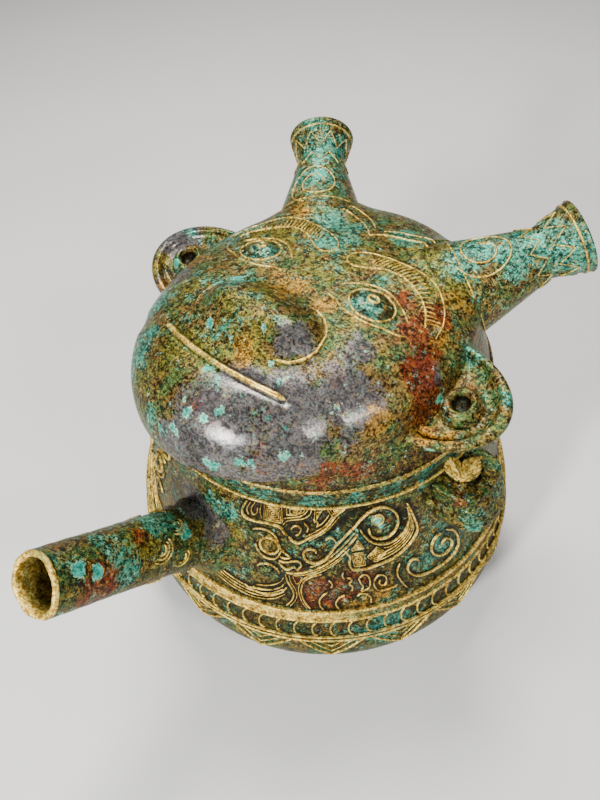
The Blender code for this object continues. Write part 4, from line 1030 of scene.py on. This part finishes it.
# Lines of the face in plan: width, height, how worn the line's left twin is, points of the right half
FACE_LINES = (
    (1.2, 0.8, 0.25, ((14, -18), (18.7, -19.2), (22.4, -21.8), (24.8, -25), (26.4, -30), (26.8, -34),
        (25.4, -38.6), (22.4, -42.4), (17.6, -44.6))),
    (0.8, 0.6, 1, ((12.5, 0), (16.6, 3.8), (21.5, 6.8), (28, 7.8), (34, 5.8), (37.6, 3.8), (40.6, 1.8))),
    (0.8, 0.6, 1, ((11, -8), (15.5, -8.8), (20.6, -10.6), (27, -11), (32, -10.2), (37, -8), (41, -6.8),
        (43.4, -5.4), (44.2, -3.8))),
    (0.9, 0.6, 1, ((4, 13), (6.6, 11.2), (10.5, 11.8), (15, 14.6), (20.5, 17.4), (28, 18.2), (35.8, 15.8),
        (42, 11), (46.4, 4.6))),
    (0.6, 0.4, 1, ((4, 13), (3.6, 17), (7, 21), (13, 23.4), (20, 25), (29, 26.2), (38, 24.4), (45, 19),
        (49.6, 11.6), (51.4, 4))),
    (0.8, 0.6, 1, ((0, 33), (4, 37), (10, 40.6), (18, 42.6), (25, 40.8), (31, 37.6), (37, 36.4),
        (43, 38.6), (47.6, 43.6))),
    (0.6, 0.4, 1, ((2, 40), (8, 45), (16, 48), (24, 47.4), (30, 45))),
)

# Rings of an eye: radius, how far back, width and height
EYE_RINGS = ((8.9, 0.0, 0.9, 0.7), (2.0, 0.8, 1.3, 1.0))

# Darker rings in an eye, just inside its outer ring and round its pupil: how dark, inner and outer radius
EYE_DARK_RINGS = ((0.55, 5.6, 8.6), (0.9, 2.6, 3.6))

# Hatching of a brow: number of strokes, where they start beside the nose and how far out they go.
# A stroke and the mouth line have their width and height.
BROW_STROKES = 22
BROW_START = 13.0
BROW_LENGTH = 33.0
BROW_STROKE = (0.65, 0.55)
MOUTH_LINE = (2.2, 1.1)
MOUTH = ((-29.0, -51.6), (-20.0, -54.2), (-10.0, -55.9), (0.0, -56.7), (10.0, -56.3), (20.0, -54.9),
         (30.0, -52.7))

# Fold at each end of the mouth: depth, middle and half size in plan, and the power of its slope
MOUTH_FOLD = (0.8, 46.0, -50.0, 16.0, 6.0, 1.0)


def face_paths():
    """Points, width, height and wear of the raised lines on the mask."""
    paths = []
    for width, height, left_wear, points in FACE_LINES:
        path = smooth_path(points, 0.5)
        paths += [(path, width, height, 1.0), (path * np.array([-1.0, 1.0]), width, height, left_wear)]
    for side in SIDES:
        for radius, back, width, height in EYE_RINGS:
            turn = np.linspace(0.0, math.tau, 90)
            x = side * (EYE_OUT + radius * np.cos(turn))
            y = EYE_BACK + back + EYE_ROUNDNESS * radius * np.sin(turn)
            paths.append((np.stack([x, y], -1), width, height, 1.0))
        for share in np.arange(BROW_STROKES) / (BROW_STROKES - 1.0):
            x = BROW_START + BROW_LENGTH * share
            low = 14.6 + 4.4 * math.sin(math.pi * min(share * 0.94 + 0.16, 1.0)) - 7.6 * share ** 2.6
            high = low + 3.2 + 4.0 * math.sin(math.pi * min(share + 0.16, 1.0))
            bend = 3.6 * share + 1.0
            stroke = ((side * x, low), (side * (x + 0.4 * bend), 0.5 * (low + high)),
                      (side * (x + bend), high))
            paths.append((smooth_path(stroke, 0.5), *BROW_STROKE, 1.0))
    paths.append((smooth_path(MOUTH, 0.5), *MOUTH_LINE, 1.0))
    return paths


# Rows of the mask's face and of its skirt, and columns round both
MASK_ROWS = 102
SKIRT_ROWS = 26
MASK_COLUMNS = 540


def make_mask(finish):
    """Mask lid: domed face, chin that turns in, upright collar and flange, hollow below."""
    shape = Shape()
    turn = circle(MASK_COLUMNS)
    even = np.linspace(0.0, 1.0, MASK_ROWS)
    share = 0.45 * even + 0.55 * np.sin(0.5 * math.pi * even) ** 1.05
    share[0] = 0.004
    share[-1] = 0.9997
    reach = mask_reach(turn)
    x = share[:, None] * reach * np.cos(turn)
    y = share[:, None] * reach * np.sin(turn)
    normals = normals_of(melted_mask, x * 0.999, y * 0.999)
    top = melted_mask(x, y) + normals * mouth_relief(x, y)[..., None]
    drop = np.linspace(0.02, 1.0, SKIRT_ROWS)[:, None]
    bent = np.cos(0.5 * math.pi * np.clip(drop / COLLAR_SHARE, 0.0, 1.0))
    fall = np.where(reach > LID_EDGE_RADIUS, bent, 1.0 - drop)
    start = mask_shoulder(turn)
    skirt = polar(LID_EDGE_RADIUS + (reach - LID_EDGE_RADIUS) * fall, turn,
                  start + (LID_EDGE_HEIGHT - start) * drop)
    # The skirt under the mask darkens towards its bottom: painted shade under the overhang.
    marks = np.concatenate([iris_darkening(x, y), np.broadcast_to(-0.6 * drop, skirt.shape[:2])])
    shape.add_grid(np.concatenate([top, skirt]), True, marks)
    # Thin rim round the lid's edge, rubbed pale: wear together with a painted highlight along the edge.
    rim = ((LID_EDGE_RADIUS - 0.2, 123.9), (LID_EDGE_RADIUS + 0.7, 124.2), (LID_EDGE_RADIUS + 0.7, 125.0),
           (LID_EDGE_RADIUS - 0.2, 125.4))
    shape.add_grid(turned(rim, 480), mark=0.36)
    flange_end = LID_EDGE_HEIGHT - FLANGE_DEPTH
    flange = ((LID_EDGE_RADIUS, LID_EDGE_HEIGHT + 0.3), (LID_EDGE_RADIUS, LID_EDGE_HEIGHT),
              (FLANGE_RADIUS, LID_EDGE_HEIGHT), (FLANGE_RADIUS, flange_end),
              (FLANGE_RADIUS - FLANGE_WALL, flange_end),
              (FLANGE_RADIUS - FLANGE_WALL, LID_EDGE_HEIGHT + 2.0))
    shape.add_grid(turned(rounded(flange, 0.4), 200))
    turn = circle(96)
    reach = np.linspace(0.99, 0.01, 30)[:, None] * (mask_reach(turn) - LID_WALL)
    x = reach * np.cos(turn)
    y = reach * np.sin(turn)
    shape.add_grid(np.stack([x, y, mask_height(x, y, LID_WALL, 0.4)], -1))
    shape.piece("mask", "lid", finish)
    lines = Shape()
    for path, width, height, worn in face_paths():
        add_ridge(lines, path, width, height, mask_skin, worn=worn)
    lines.piece("face_lines", "lid", finish)


def iris_darkening(x, y):
    """Darker rings between the ring of each eye and its pupil, one inside the outer ring and one round the
    pupil.
    """
    mark = np.zeros_like(x)
    for side in SIDES:
        away = np.hypot(x - side * EYE_OUT, (y - EYE_BACK) / EYE_ROUNDNESS)
        for dark, inner, outer in EYE_DARK_RINGS:
            mark = mark - dark * ((away > inner) & (away < outer))
    return mark


def mouth_relief(x, y):
    """Groove beside the mouth line and a faint fold under each of its ends."""
    path = smooth_path(MOUTH, 0.8)
    away = np.full(x.shape, 9.0)
    near = (y < -45.0) & (np.abs(x) < 40.0)
    place = np.stack([x[near], y[near]], -1)
    away[near] = np.min(np.linalg.norm(place[:, None, :] - path[None, :, :], axis=2), axis=1)
    relief = -np.exp(-(away / 2.0) ** 2)
    depth, out, *where = MOUTH_FOLD
    for side in SIDES:
        relief = relief - depth * swelling(x, y, side * out, *where)
    return relief


# Ornament of a horn: zigzags between two distances back from the lip, and rings with their width
HORN_ZIGZAGS = ((6.5, 13.5), (16.5, 22.5))
ZIGZAG_BENDS = 18
HORN_RINGS = ((3.6, 1.2), (48.5, 0.9))
HORN_LINE_HEIGHT = 0.6
HORN_LINE_WEAR = 0.7


def make_horns(finish):
    """Trumpet horns with a spiral, two zigzags and rings in thin raised line."""
    back = np.concatenate([np.linspace(0.8, 12.0, 24), np.linspace(12.7, HORN_LENGTH + 16.0, 84)])
    outer = np.stack([horn_radius(back), -back], -1)
    lip = ((0.3, -2.6), (8.0, -2.4), (HORN_LIP_RADIUS - 3.0, -1.6), (HORN_LIP_RADIUS - 1.4, -0.1),
           (HORN_LIP_RADIUS - 0.1, 0.0), (HORN_LIP_RADIUS, -0.8))
    profile = np.concatenate([even_path(rounded(lip, 1.2), 0.7), outer[1:]])
    points = moved(turned(profile, 128), horn_place(1.0))
    x, y, z = np.moveaxis(points, -1, 0)
    inside = np.hypot(x, y) < mask_reach(np.arctan2(y, x))
    points[..., 2] += 0.5 * np.where(inside, fillet(np.abs(z - mask_height(x, y))), 0.0)
    shape = Shape()
    shape.add_grid(points)
    for width, path in horn_paths():
        add_ridge(shape, path, width, HORN_LINE_HEIGHT, horn_skin, worn=HORN_LINE_WEAR)
    shape.pair("horn_{}", "lid", finish)


def horn_paths():
    """Width and points of the spirals, zigzags and rings on a horn."""
    length = math.tau * HORN_ROUND
    top = -2.0
    paths = [(1.1, spiral((middle, 38.0), 13.0, 3.4, 1.7, 108.0)) for middle in (top, top + 0.5 * length)]
    for near, far in HORN_ZIGZAGS:
        zigzag = [(length * index / ZIGZAG_BENDS, near if index % 2 else far)
                  for index in range(ZIGZAG_BENDS + 1)]
        paths.append((0.8, even_path(zigzag, 0.6)))
    ring = np.linspace(0.0, length, 260)
    for back, width in HORN_RINGS:
        paths.append((width, np.stack([ring, np.full_like(ring, back)], -1)))
    return paths


def ear_place():
    """Frame of the right ear: +X runs out along it, and +Z is up from its dish."""
    lean = Matrix.Rotation(math.radians(EAR_PITCH), 4, "X")
    lift = Matrix.Rotation(-math.radians(EAR_LIFT), 4, "Y")
    return Matrix.Translation((EAR_INNER, EAR_PLACE, EAR_HEIGHT)) @ lean @ lift


def ear_skin(u, v, lift):
    """Floor of the right ear's dish."""
    return moved(np.stack([u, v, lift - 0.8], -1), ear_place())


def make_ears(finish):
    """Scroll ears: a dished shell with a rolled rim, a hollow ring in it and a lobe below."""
    turn = np.radians(np.linspace(-118.0, 118.0, 150))[:, None]
    around_bead = np.radians(np.linspace(-40.0, 215.0, 20))[::-1]
    bead = [(0.925 + 0.082 * math.sin(angle), 2.3 * math.cos(angle)) for angle in around_bead]
    section = [(0.02, -2.4), (0.5, -3.0), (0.78, -3.2)] + bead + [(0.78, -0.9), (0.5, -1.5), (0.02, -0.2)]
    share, rise = smooth_path(section, 0.10).T
    x = share * EAR_REACH * np.cos(turn)
    y = share * EAR_HALF_LENGTH * np.sin(turn)
    shape = Shape()
    shape.add_grid(moved(np.stack([x, y, np.broadcast_to(rise, x.shape)], -1), ear_place()), False)
    ring = rounded(EAR_RING, 0.8)
    points = turned(ring, 72) + np.array([EAR_CURL_OUT, 0.0, -1.0])
    # The inner part of the hollow ring is darkened: painted shade in the pit.
    shape.add_grid(moved(points, ear_place()), True, np.where(ring[:, :1] < 3.4, -0.9, 0.0))
    for width, height, path in EAR_LINES:
        add_ridge(shape, smooth_path(path, 0.6), width, height, ear_skin, worn=0.0)
    shape.pair("ear_{}", "lid", finish)


# Hollow ring in the ear as radius and height, and its plain raised lines: width, height, points
EAR_RING = ((0.2, 0.1), (2.3, 0.2), (3.2, 2), (3.9, 4), (5.1, 4.7), (6.6, 3.2), (8.6, -0.6))
EAR_LINES = (
    (4.2, 3.6, ((2, -12.6), (7, -14.6), (13, -13.8), (18.6, -11), (22.6, -7.4))),
    (5.6, 3.8, ((-5, -15.6), (0, -17.8), (6, -19), (12, -18.8))),
    (4.6, 1.2, ((8, 15), (12, 17), (16.6, 17.6))),
)

# Stains: x, y, z and radius of soft patches, in millimetres about the vessel's axis
STAINS = {
    "grey": ((21, -73, 153, 20), (37, -56, 158, 17), (46, -38, 159, 13), (18, -58, 161, 10),
        (56, -8, 155, 7), (5, -80, 148, 10), (-60, -30, 150, 16), (19, -36, 172, 7), (-82, 0, 150, 10),
        (-3, -79, 98, 9), (6, -80, 92, 8), (36, -22, 165, 7)),
    "olive": ((-14, -60, 162, 9), (-40, -35, 162, 10), (4, -44, 170, 9), (0, 12, 167, 14),
        (34, 30, 163, 12), (-30, 10, 167, 12), (-24, -70, 155, 6), (0, -106, 110, 8), (-8, -28, 174, 9),
        (18, 20, 167, 8)),
    "teal": ((-9, 19, 167, 9), (40, 41, 165, 7), (-27, -3, 168, 7), (27, -3, 168, 5.5), (43, 53, 168, 11),
        (56, 60, 167, 11), (-57, 71, 172, 12), (-43, 52, 168, 12), (66, 72, 166, 12), (-52, 5, 157, 10),
        (88, -15, 102, 5), (91, -3, 108, 4), (-90, -6, 104, 9), (62, 12, 154, 4), (-16, 32, 167, 9),
        (12, 44, 165, 7), (-8, -86, 150, 7), (-34, -66, 152, 10), (57, -52, 96, 7), (78, -20, 77, 10),
        (73, -50, 43, 10), (13, -74, 104, 6), (6.9, -116.4, 123.2, 6.5), (84, 2, 152, 3),
        (-80, 4, 152, 4), (11.2, -117.1, 116.7, 5), (-4.3, -95.4, 109.7, 9), (-20, -24, 169, 7),
        (-50, -42, 155, 10), (30, 90, 60, 16), (-60, 60, 90, 14)),
    "mint": ((5, -73, 157, 2.3), (2.2, -71.6, 158.4, 1.6), (11, -72, 157, 1.7), (15, -68.5, 159.4, 1.8),
        (1.6, -79.4, 151.6, 1.5), (3.4, -78.6, 150, 1.7), (18, -79, 144, 2.6), (21, -78, 143.6, 1.8),
        (27, -73.5, 146.6, 1.9), (30, -71, 147, 1.2), (39, -63.5, 149.6, 2), (43, 53, 170, 2.5),
        (7.1, -90.3, 104.3, 3.4), (7.4, -130.4, 132.7, 2.6), (9.4, -125.8, 126.9, 2.2),
        (61.6, -42, 106.4, 2.4), (62.6, -40.6, 103.6, 1.6), (18, -46, 166, 1.3), (25, -49, 164, 1.2),
        (1, -60, 164, 1.5), (9, -40, 173, 1.6), (-20, -22, 170, 2.4), (-33, -28, 167, 2.2),
        (70, -26.3, 137.5, 2.4), (56, 66, 168, 3), (-50, 62, 172, 4), (-44, 54, 168, 3), (62, -8, 146, 2),
        (-72, -12, 146, 2), (-12, -46, 168, 1.8)),
    "red": ((48, -1, 161, 8), (55, -13, 157, 7), (62, -16, 148, 9), (34, 10, 165, 4.5), (46, 12, 161, 6),
        (49, -53, 136, 6), (55, -44, 134, 5), (55, -62, 71, 10), (60, -54, 76, 7), (48, -68, 68, 7),
        (4.8, -105.7, 116.8, 4.5), (11.8, -129, 120.2, 8), (82, -17, 110, 3), (20, -60, 48, 6),
        (43, -66, 76, 5)),
    "gold": ((-2, -14, 168, 8), (16, -14, 168, 5), (57, -37, 150, 7), (45, 26, 159, 6), (52, 5, 158, 5),
        (-50, -15, 159, 6), (-35, 30, 163, 6), (8, -49, 168, 5), (-44, 44, 162, 6), (62, -52, 62, 5),
        (58, -21, 139, 6), (66, -20, 139, 5), (74, -18, 141, 4), (-60, -20, 139, 5), (-68, -19, 140, 5),
        (1, -84, 149, 2.6), (66, -47, 66, 7)),
}

# A stain is full inside 0.6 of its radius and gone at 1.6 of it
STAIN_EDGE = 1.6

# Level bands that are stained: word, lowest and highest, inner and outer reach, and strength
STAIN_BANDS = (("teal", 116.9, 123.6, 70.0, 73.0, 0.50), ("red", 123.9, 133.0, 60.0, 78.0, 0.35),
               ("gold", 60.0, 116.0, 60.0, 95.0, 0.10))

# Noises of the patina as size per metre, detail and roughness, the noise from which each layer starts
# to show and at which it is full, and how far two kinds of stain help the crust
FINE_NOISE = (380.0, 7.0, 0.76)
GRAIN_NOISE = (1150.0, 3.0, 0.62)
GRAIN_EDGE = (0.4525, 0.5475)
VEIL_NOISE = (135.0, 7.0, 0.7)
VEIL_EDGE = (0.46, 0.56)
FLECK_NOISE = (660.0, 5.0, 0.75)
FLECK_EDGE = (0.57, 0.61)
PIT_NOISE = (520.0, 5.0, 0.72)
PIT_EDGE = (0.53, 0.57)
CRUST_NOISE = (240.0, 8.0, 0.76)
CRUST_EDGE = (0.622, 0.636)
CRUST_RIM = (0.680, 0.650)
MINT_HELP = 0.22
TEAL_HELP = 0.030
WEAR_NOISE = (230.0, 5.0, 0.6)
WEAR_EDGE = (0.38, 0.52)
RUB_EDGE = (0.20, 0.65)

# Colours of the patina, dark and light grain of each. The coats lie over each other in this order:
# stain word, share that covers, size of patches per metre, noise needed where unstained, how far a
# stain helps, and how far smooth grey metal holds the coat back.
# Near-black of painted shade in recesses, creases and under overhangs, also the colour of the pits
SHADE_AND_PIT_COLOUR = (0.005, 0.004, 0.002)
# Ochre flecks that also stand for painted glints on the grain
FLECKS_AND_GLINTS = (0.60, 0.38, 0.06)
WORN_LINES = ((0.30, 0.15, 0.010), (0.96, 0.70, 0.15))
TURQUOISE_DARK = ((0.010, 0.170, 0.130), (0.080, 0.330, 0.230))
TURQUOISE_LIGHT = ((0.060, 0.480, 0.350), (0.480, 0.860, 0.560))
COATS = (
    ("grey", 0.92, 60.0, 0.62, 0.26, 0.0, (0.052, 0.047, 0.050), (0.140, 0.132, 0.136)),
    ("olive", 0.75, 95.0, 0.565, 0.15, 0.06, (0.022, 0.026, 0.002), (0.215, 0.205, 0.022)),
    ("red", 0.90, 85.0, 0.62, 0.26, 0.0, (0.024, 0.005, 0.003), (0.260, 0.040, 0.008)),
    ("gold", 0.75, 120.0, 0.620, 0.22, 0.0, (0.085, 0.034, 0.002), (0.540, 0.275, 0.024)),
    ("teal", 0.85, 105.0, 0.565, 0.16, 0.06, (0.002, 0.050, 0.040), (0.060, 0.410, 0.280)),
)

# Dots over the coats: noise and its edge, share on rough and on smooth metal, and colour; the first are
# ochre flecks and painted glints, the second dark pits
DOTS = ((FLECK_NOISE, FLECK_EDGE, 0.6, 0.15, FLECKS_AND_GLINTS), (PIT_NOISE, PIT_EDGE, 0.78, 0.12, SHADE_AND_PIT_COLOUR))

# Metal under the patina, and its fine bumps
METAL = {"Metallic": 0.45, "Specular_IOR_Level": 0.35, "Specular_Tint": (0.45, 0.43, 0.38)}
BUMP_STRENGTH = 0.6
BUMP_DEPTH = 0.0007

# Colours of each casting's ground and of the veil over it, and the roughness of its glossiest spots
VESSEL_LOOK = (((0.009, 0.005, 0.001), (0.170, 0.115, 0.022)),
               ((0.007, 0.018, 0.006), (0.060, 0.140, 0.040)), 0.26)
LID_LOOK = (((0.015, 0.009, 0.003), (0.220, 0.135, 0.032)),
            ((0.008, 0.024, 0.008), (0.100, 0.180, 0.050)), 0.15)


class Nodes:
    """Short way to add and link the nodes of one material."""

    def __init__(self, name):
        self.material = bpy.data.materials.new(name)
        self.material.use_nodes = True
        self.tree = self.material.node_tree
        self.tree.nodes.clear()

    def fill(self, socket, value):
        """Link a socket to another one, or set its own number or colour."""
        if isinstance(value, bpy.types.NodeSocket):
            self.tree.links.new(value, socket)
        elif isinstance(value, tuple):
            socket.default_value = (*value, 1.0)
        else:
            socket.default_value = value

    def add(self, kind, **inputs):
        """A node of a kind with its inputs filled by name."""
        node = self.tree.nodes.new(kind)
        for name, value in inputs.items():
            self.fill(node.inputs[name.replace("_", " ")], value)
        return node

    def mark(self, name):
        """Value that each point of the mesh has under a name."""
        node = self.add("ShaderNodeAttribute")
        node.attribute_name = name
        return node.outputs["Fac"]

    def noise(self, scale, detail, roughness):
        """Noise in the object's own space."""
        where = self.add("ShaderNodeTexCoord").outputs["Object"]
        node = self.add("ShaderNodeTexNoise", Vector=where, Scale=scale, Detail=detail, Roughness=roughness)
        return node.outputs["Fac"]

    def math(self, operation, first, second, clamp=False):
        """Result of one operation on two values."""
        node = self.add("ShaderNodeMath")
        node.operation = operation
        node.use_clamp = clamp
        self.fill(node.inputs[0], first)
        self.fill(node.inputs[1], second)
        return node.outputs[0]

    def plus(self, first, second, clamp=False):
        """Sum of two values."""
        return self.math("ADD", first, second, clamp)

    def minus(self, first, second):
        """First value less the second."""
        return self.math("SUBTRACT", first, second)

    def times(self, first, second, clamp=False):
        """Product of two values."""
        return self.math("MULTIPLY", first, second, clamp)

    def band(self, value, low, high, start=0.0, end=1.0):
        """A value between low and high, spread from start to end and held there beyond them."""
        node = self.add("ShaderNodeMapRange", Value=value, From_Min=low, From_Max=high,
                        To_Min=start, To_Max=end)
        return node.outputs[0]

    def mix(self, share, first, second):
        """Colour between two others."""
        node = self.add("ShaderNodeMix")
        node.data_type = "RGBA"
        for key, value in (("Factor", share), (6, first), (7, second)):
            self.fill(node.inputs[key], value)
        return node.outputs[2]

    def surface(self, **inputs):
        """The whole material, once its shader has its inputs."""
        shader = self.add("ShaderNodeBsdfPrincipled", **inputs)
        self.add("ShaderNodeOutputMaterial", Surface=shader.outputs[0])
        return self.material


def patina(name, ground, veil, shine):
    """Old bronze: speckled ground, patches of stain, turquoise crusts and rubbed golden lines, with painted
    shade in the hollows and painted glints among the flecks.
    """
    nodes = Nodes(name)
    fine = nodes.noise(*FINE_NOISE)
    grain = nodes.noise(*GRAIN_NOISE)
    smooth = nodes.mark("grey")
    light = nodes.band(nodes.plus(nodes.times(fine, 0.5), nodes.times(grain, 0.5)), *GRAIN_EDGE)
    veiled = nodes.band(nodes.noise(*VEIL_NOISE), *VEIL_EDGE)
    colour = nodes.mix(veiled, nodes.mix(light, *ground), nodes.mix(light, *veil))
    # Dark side of the wear and shade mark: dirt in hollows with painted shade, laid before the coats and
    # again after them.
    recess_shade = nodes.band(nodes.mark("wear_and_shade"), 0.0, -1.0)
    colour = nodes.mix(nodes.times(recess_shade, 0.90), colour, SHADE_AND_PIT_COLOUR)
    stipple = nodes.times(nodes.minus(grain, 0.5), 0.35)
    for word, share, size, need, help_of_stain, held_back, dark, bright in COATS:
        stain = nodes.times(nodes.mark(word), help_of_stain)
        if held_back:
            stain = nodes.minus(stain, nodes.times(smooth, held_back))
        spread = nodes.plus(nodes.plus(nodes.noise(size, 9.0, 0.74), stain), stipple)
        patch = nodes.band(spread, need, need + 0.08)
        colour = nodes.mix(nodes.times(patch, share), colour, nodes.mix(light, dark, bright))
    for noise, edge, rough_share, smooth_share, dot in DOTS:
        share = nodes.band(smooth, 0.0, 1.0, rough_share, smooth_share)
        colour = nodes.mix(nodes.times(nodes.band(nodes.noise(*noise), *edge), share), colour, dot)
    colour = nodes.mix(nodes.band(recess_shade, 0.25, 0.9, 0.0, 0.85), colour, SHADE_AND_PIT_COLOUR)
    minty = nodes.times(nodes.mark("mint"), MINT_HELP)
    stain = nodes.plus(minty, nodes.times(nodes.mark("teal"), TEAL_HELP))
    crust = nodes.plus(nodes.noise(*CRUST_NOISE), stain)
    crusted = nodes.band(crust, *CRUST_EDGE)
    rim = nodes.band(crust, *CRUST_RIM)
    mint = nodes.mix(light, nodes.mix(rim, *TURQUOISE_DARK), nodes.mix(rim, *TURQUOISE_LIGHT))
    colour = nodes.mix(crusted, colour, mint)
    worn = nodes.band(nodes.noise(*WEAR_NOISE), *WEAR_EDGE, 0.45, 1.0)
    wear_and_shade = nodes.times(nodes.band(nodes.mark("wear_and_shade"), *RUB_EDGE), worn, True)
    colour = nodes.mix(wear_and_shade, colour, nodes.mix(light, *WORN_LINES))
    matt = nodes.minus(nodes.band(fine, 0.35, 0.65, shine, shine + 0.24), nodes.times(smooth, 0.08))
    rough = nodes.plus(matt, nodes.times(crusted, 0.22), True)
    height = nodes.plus(nodes.times(fine, 0.8), nodes.times(grain, 0.45))
    height = nodes.times(height, nodes.band(smooth, 0.0, 1.0, 1.0, 0.25))
    height = nodes.plus(height, nodes.times(crusted, 0.30))
    bump = nodes.add("ShaderNodeBump", Strength=BUMP_STRENGTH, Distance=BUMP_DEPTH, Height=height)
    return nodes.surface(Base_Color=colour, Roughness=rough, Normal=bump.outputs[0], **METAL)


# Lights: name, turn and height in degrees as seen from the object, distance, size, watts, colour
LIGHTS = (
    ("overhead", 130.0, 66.0, 1.0, 0.40, 16.0, (1.0, 0.98, 0.95)),
    ("front", -84.0, 27.0, 0.9, 0.13, 15.0, (0.97, 0.98, 1.0)),
    ("right", -6.0, 40.0, 1.0, 0.20, 5.5, (1.0, 0.98, 0.96)),
)
LIGHTS_AIM = (0.0, 0.0, 0.10)
ROOM_COLOUR = (0.84, 0.88, 0.95, 1.0)
ROOM_STRENGTH = 0.20
FLOOR_COLOURS = ((0.60, 0.59, 0.57), (0.66, 0.65, 0.63))
FLOOR_SIZE = 4.0

# Camera, fitted to the round rims and the mirror pairs of the object
CAMERA_FORWARD = (-0.46316, 0.48498, -0.74180)
CAMERA_UP = (-0.46038, 0.58355, 0.66897)
CAMERA_PLACE = (140.466, -161.340 + AXIS_Y, 332.309)
CAMERA_LENS = 21.0
CAMERA_SENSOR = 24.0


def plain_floor():
    """Pale floor that the object stands on."""
    nodes = Nodes("pale_floor")
    mesh = bpy.data.meshes.new("floor")
    corners = [(x * FLOOR_SIZE, y * FLOOR_SIZE, 0.0) for x, y in ((-1, -1), (1, -1), (1, 1), (-1, 1))]
    mesh.from_pydata(corners, [], [(0, 1, 2, 3)])
    colour = nodes.mix(nodes.noise(6.0, 3.0, 0.6), *FLOOR_COLOURS)
    mesh.materials.append(nodes.surface(Base_Color=colour, Roughness=0.85))
    floor = linked("floor", mesh)


def add_light(name, turn, height, distance, size, power, colour):
    """Round soft light that looks at the middle of the object."""
    light = bpy.data.lights.new(name, "AREA")
    light.shape = "DISK"
    light.size = size
    light.energy = power
    light.color = colour
    turn = math.radians(turn)
    height = math.radians(height)
    away = Vector((math.cos(turn) * math.cos(height), math.sin(turn) * math.cos(height), math.sin(height)))
    item = linked(name, light)
    item.location = Vector(LIGHTS_AIM) + away * distance
    item.rotation_euler = (-away).to_track_quat("-Z", "Y").to_euler()


def add_lights():
    """Soft studio light from above, the front and the right, in a pale room."""
    world = bpy.data.worlds.new("studio")
    world.use_nodes = True
    background = world.node_tree.nodes["Background"]
    background.inputs["Color"].default_value = ROOM_COLOUR
    background.inputs["Strength"].default_value = ROOM_STRENGTH
    bpy.context.scene.world = world
    for light in LIGHTS:
        add_light(*light)


def add_camera():
    """Camera at the photo's place."""
    forward = Vector(CAMERA_FORWARD)
    right = forward.cross(Vector(CAMERA_UP)).normalized()
    up = right.cross(forward).normalized()
    camera = bpy.data.cameras.new("camera")
    camera.sensor_fit = "VERTICAL"
    camera.sensor_height = CAMERA_SENSOR
    camera.lens = CAMERA_LENS
    camera.clip_start = 0.01
    place = Matrix((right, up, -forward.normalized())).transposed().to_4x4()
    place.translation = Vector(CAMERA_PLACE) * MM
    item = linked("camera", camera)
    item.matrix_world = place
    bpy.context.scene.camera = item


add_camera()
add_lights()
plain_floor()
vessel_finish = ("vessel_bronze", patina("vessel_patina", *VESSEL_LOOK))
lid_finish = ("lid_bronze", patina("lid_patina", *LID_LOOK))
for make in (make_body, make_lower_body, make_spout, make_lugs):
    make(vessel_finish)
for make in (make_mask, make_horns, make_ears):
    make(lid_finish)
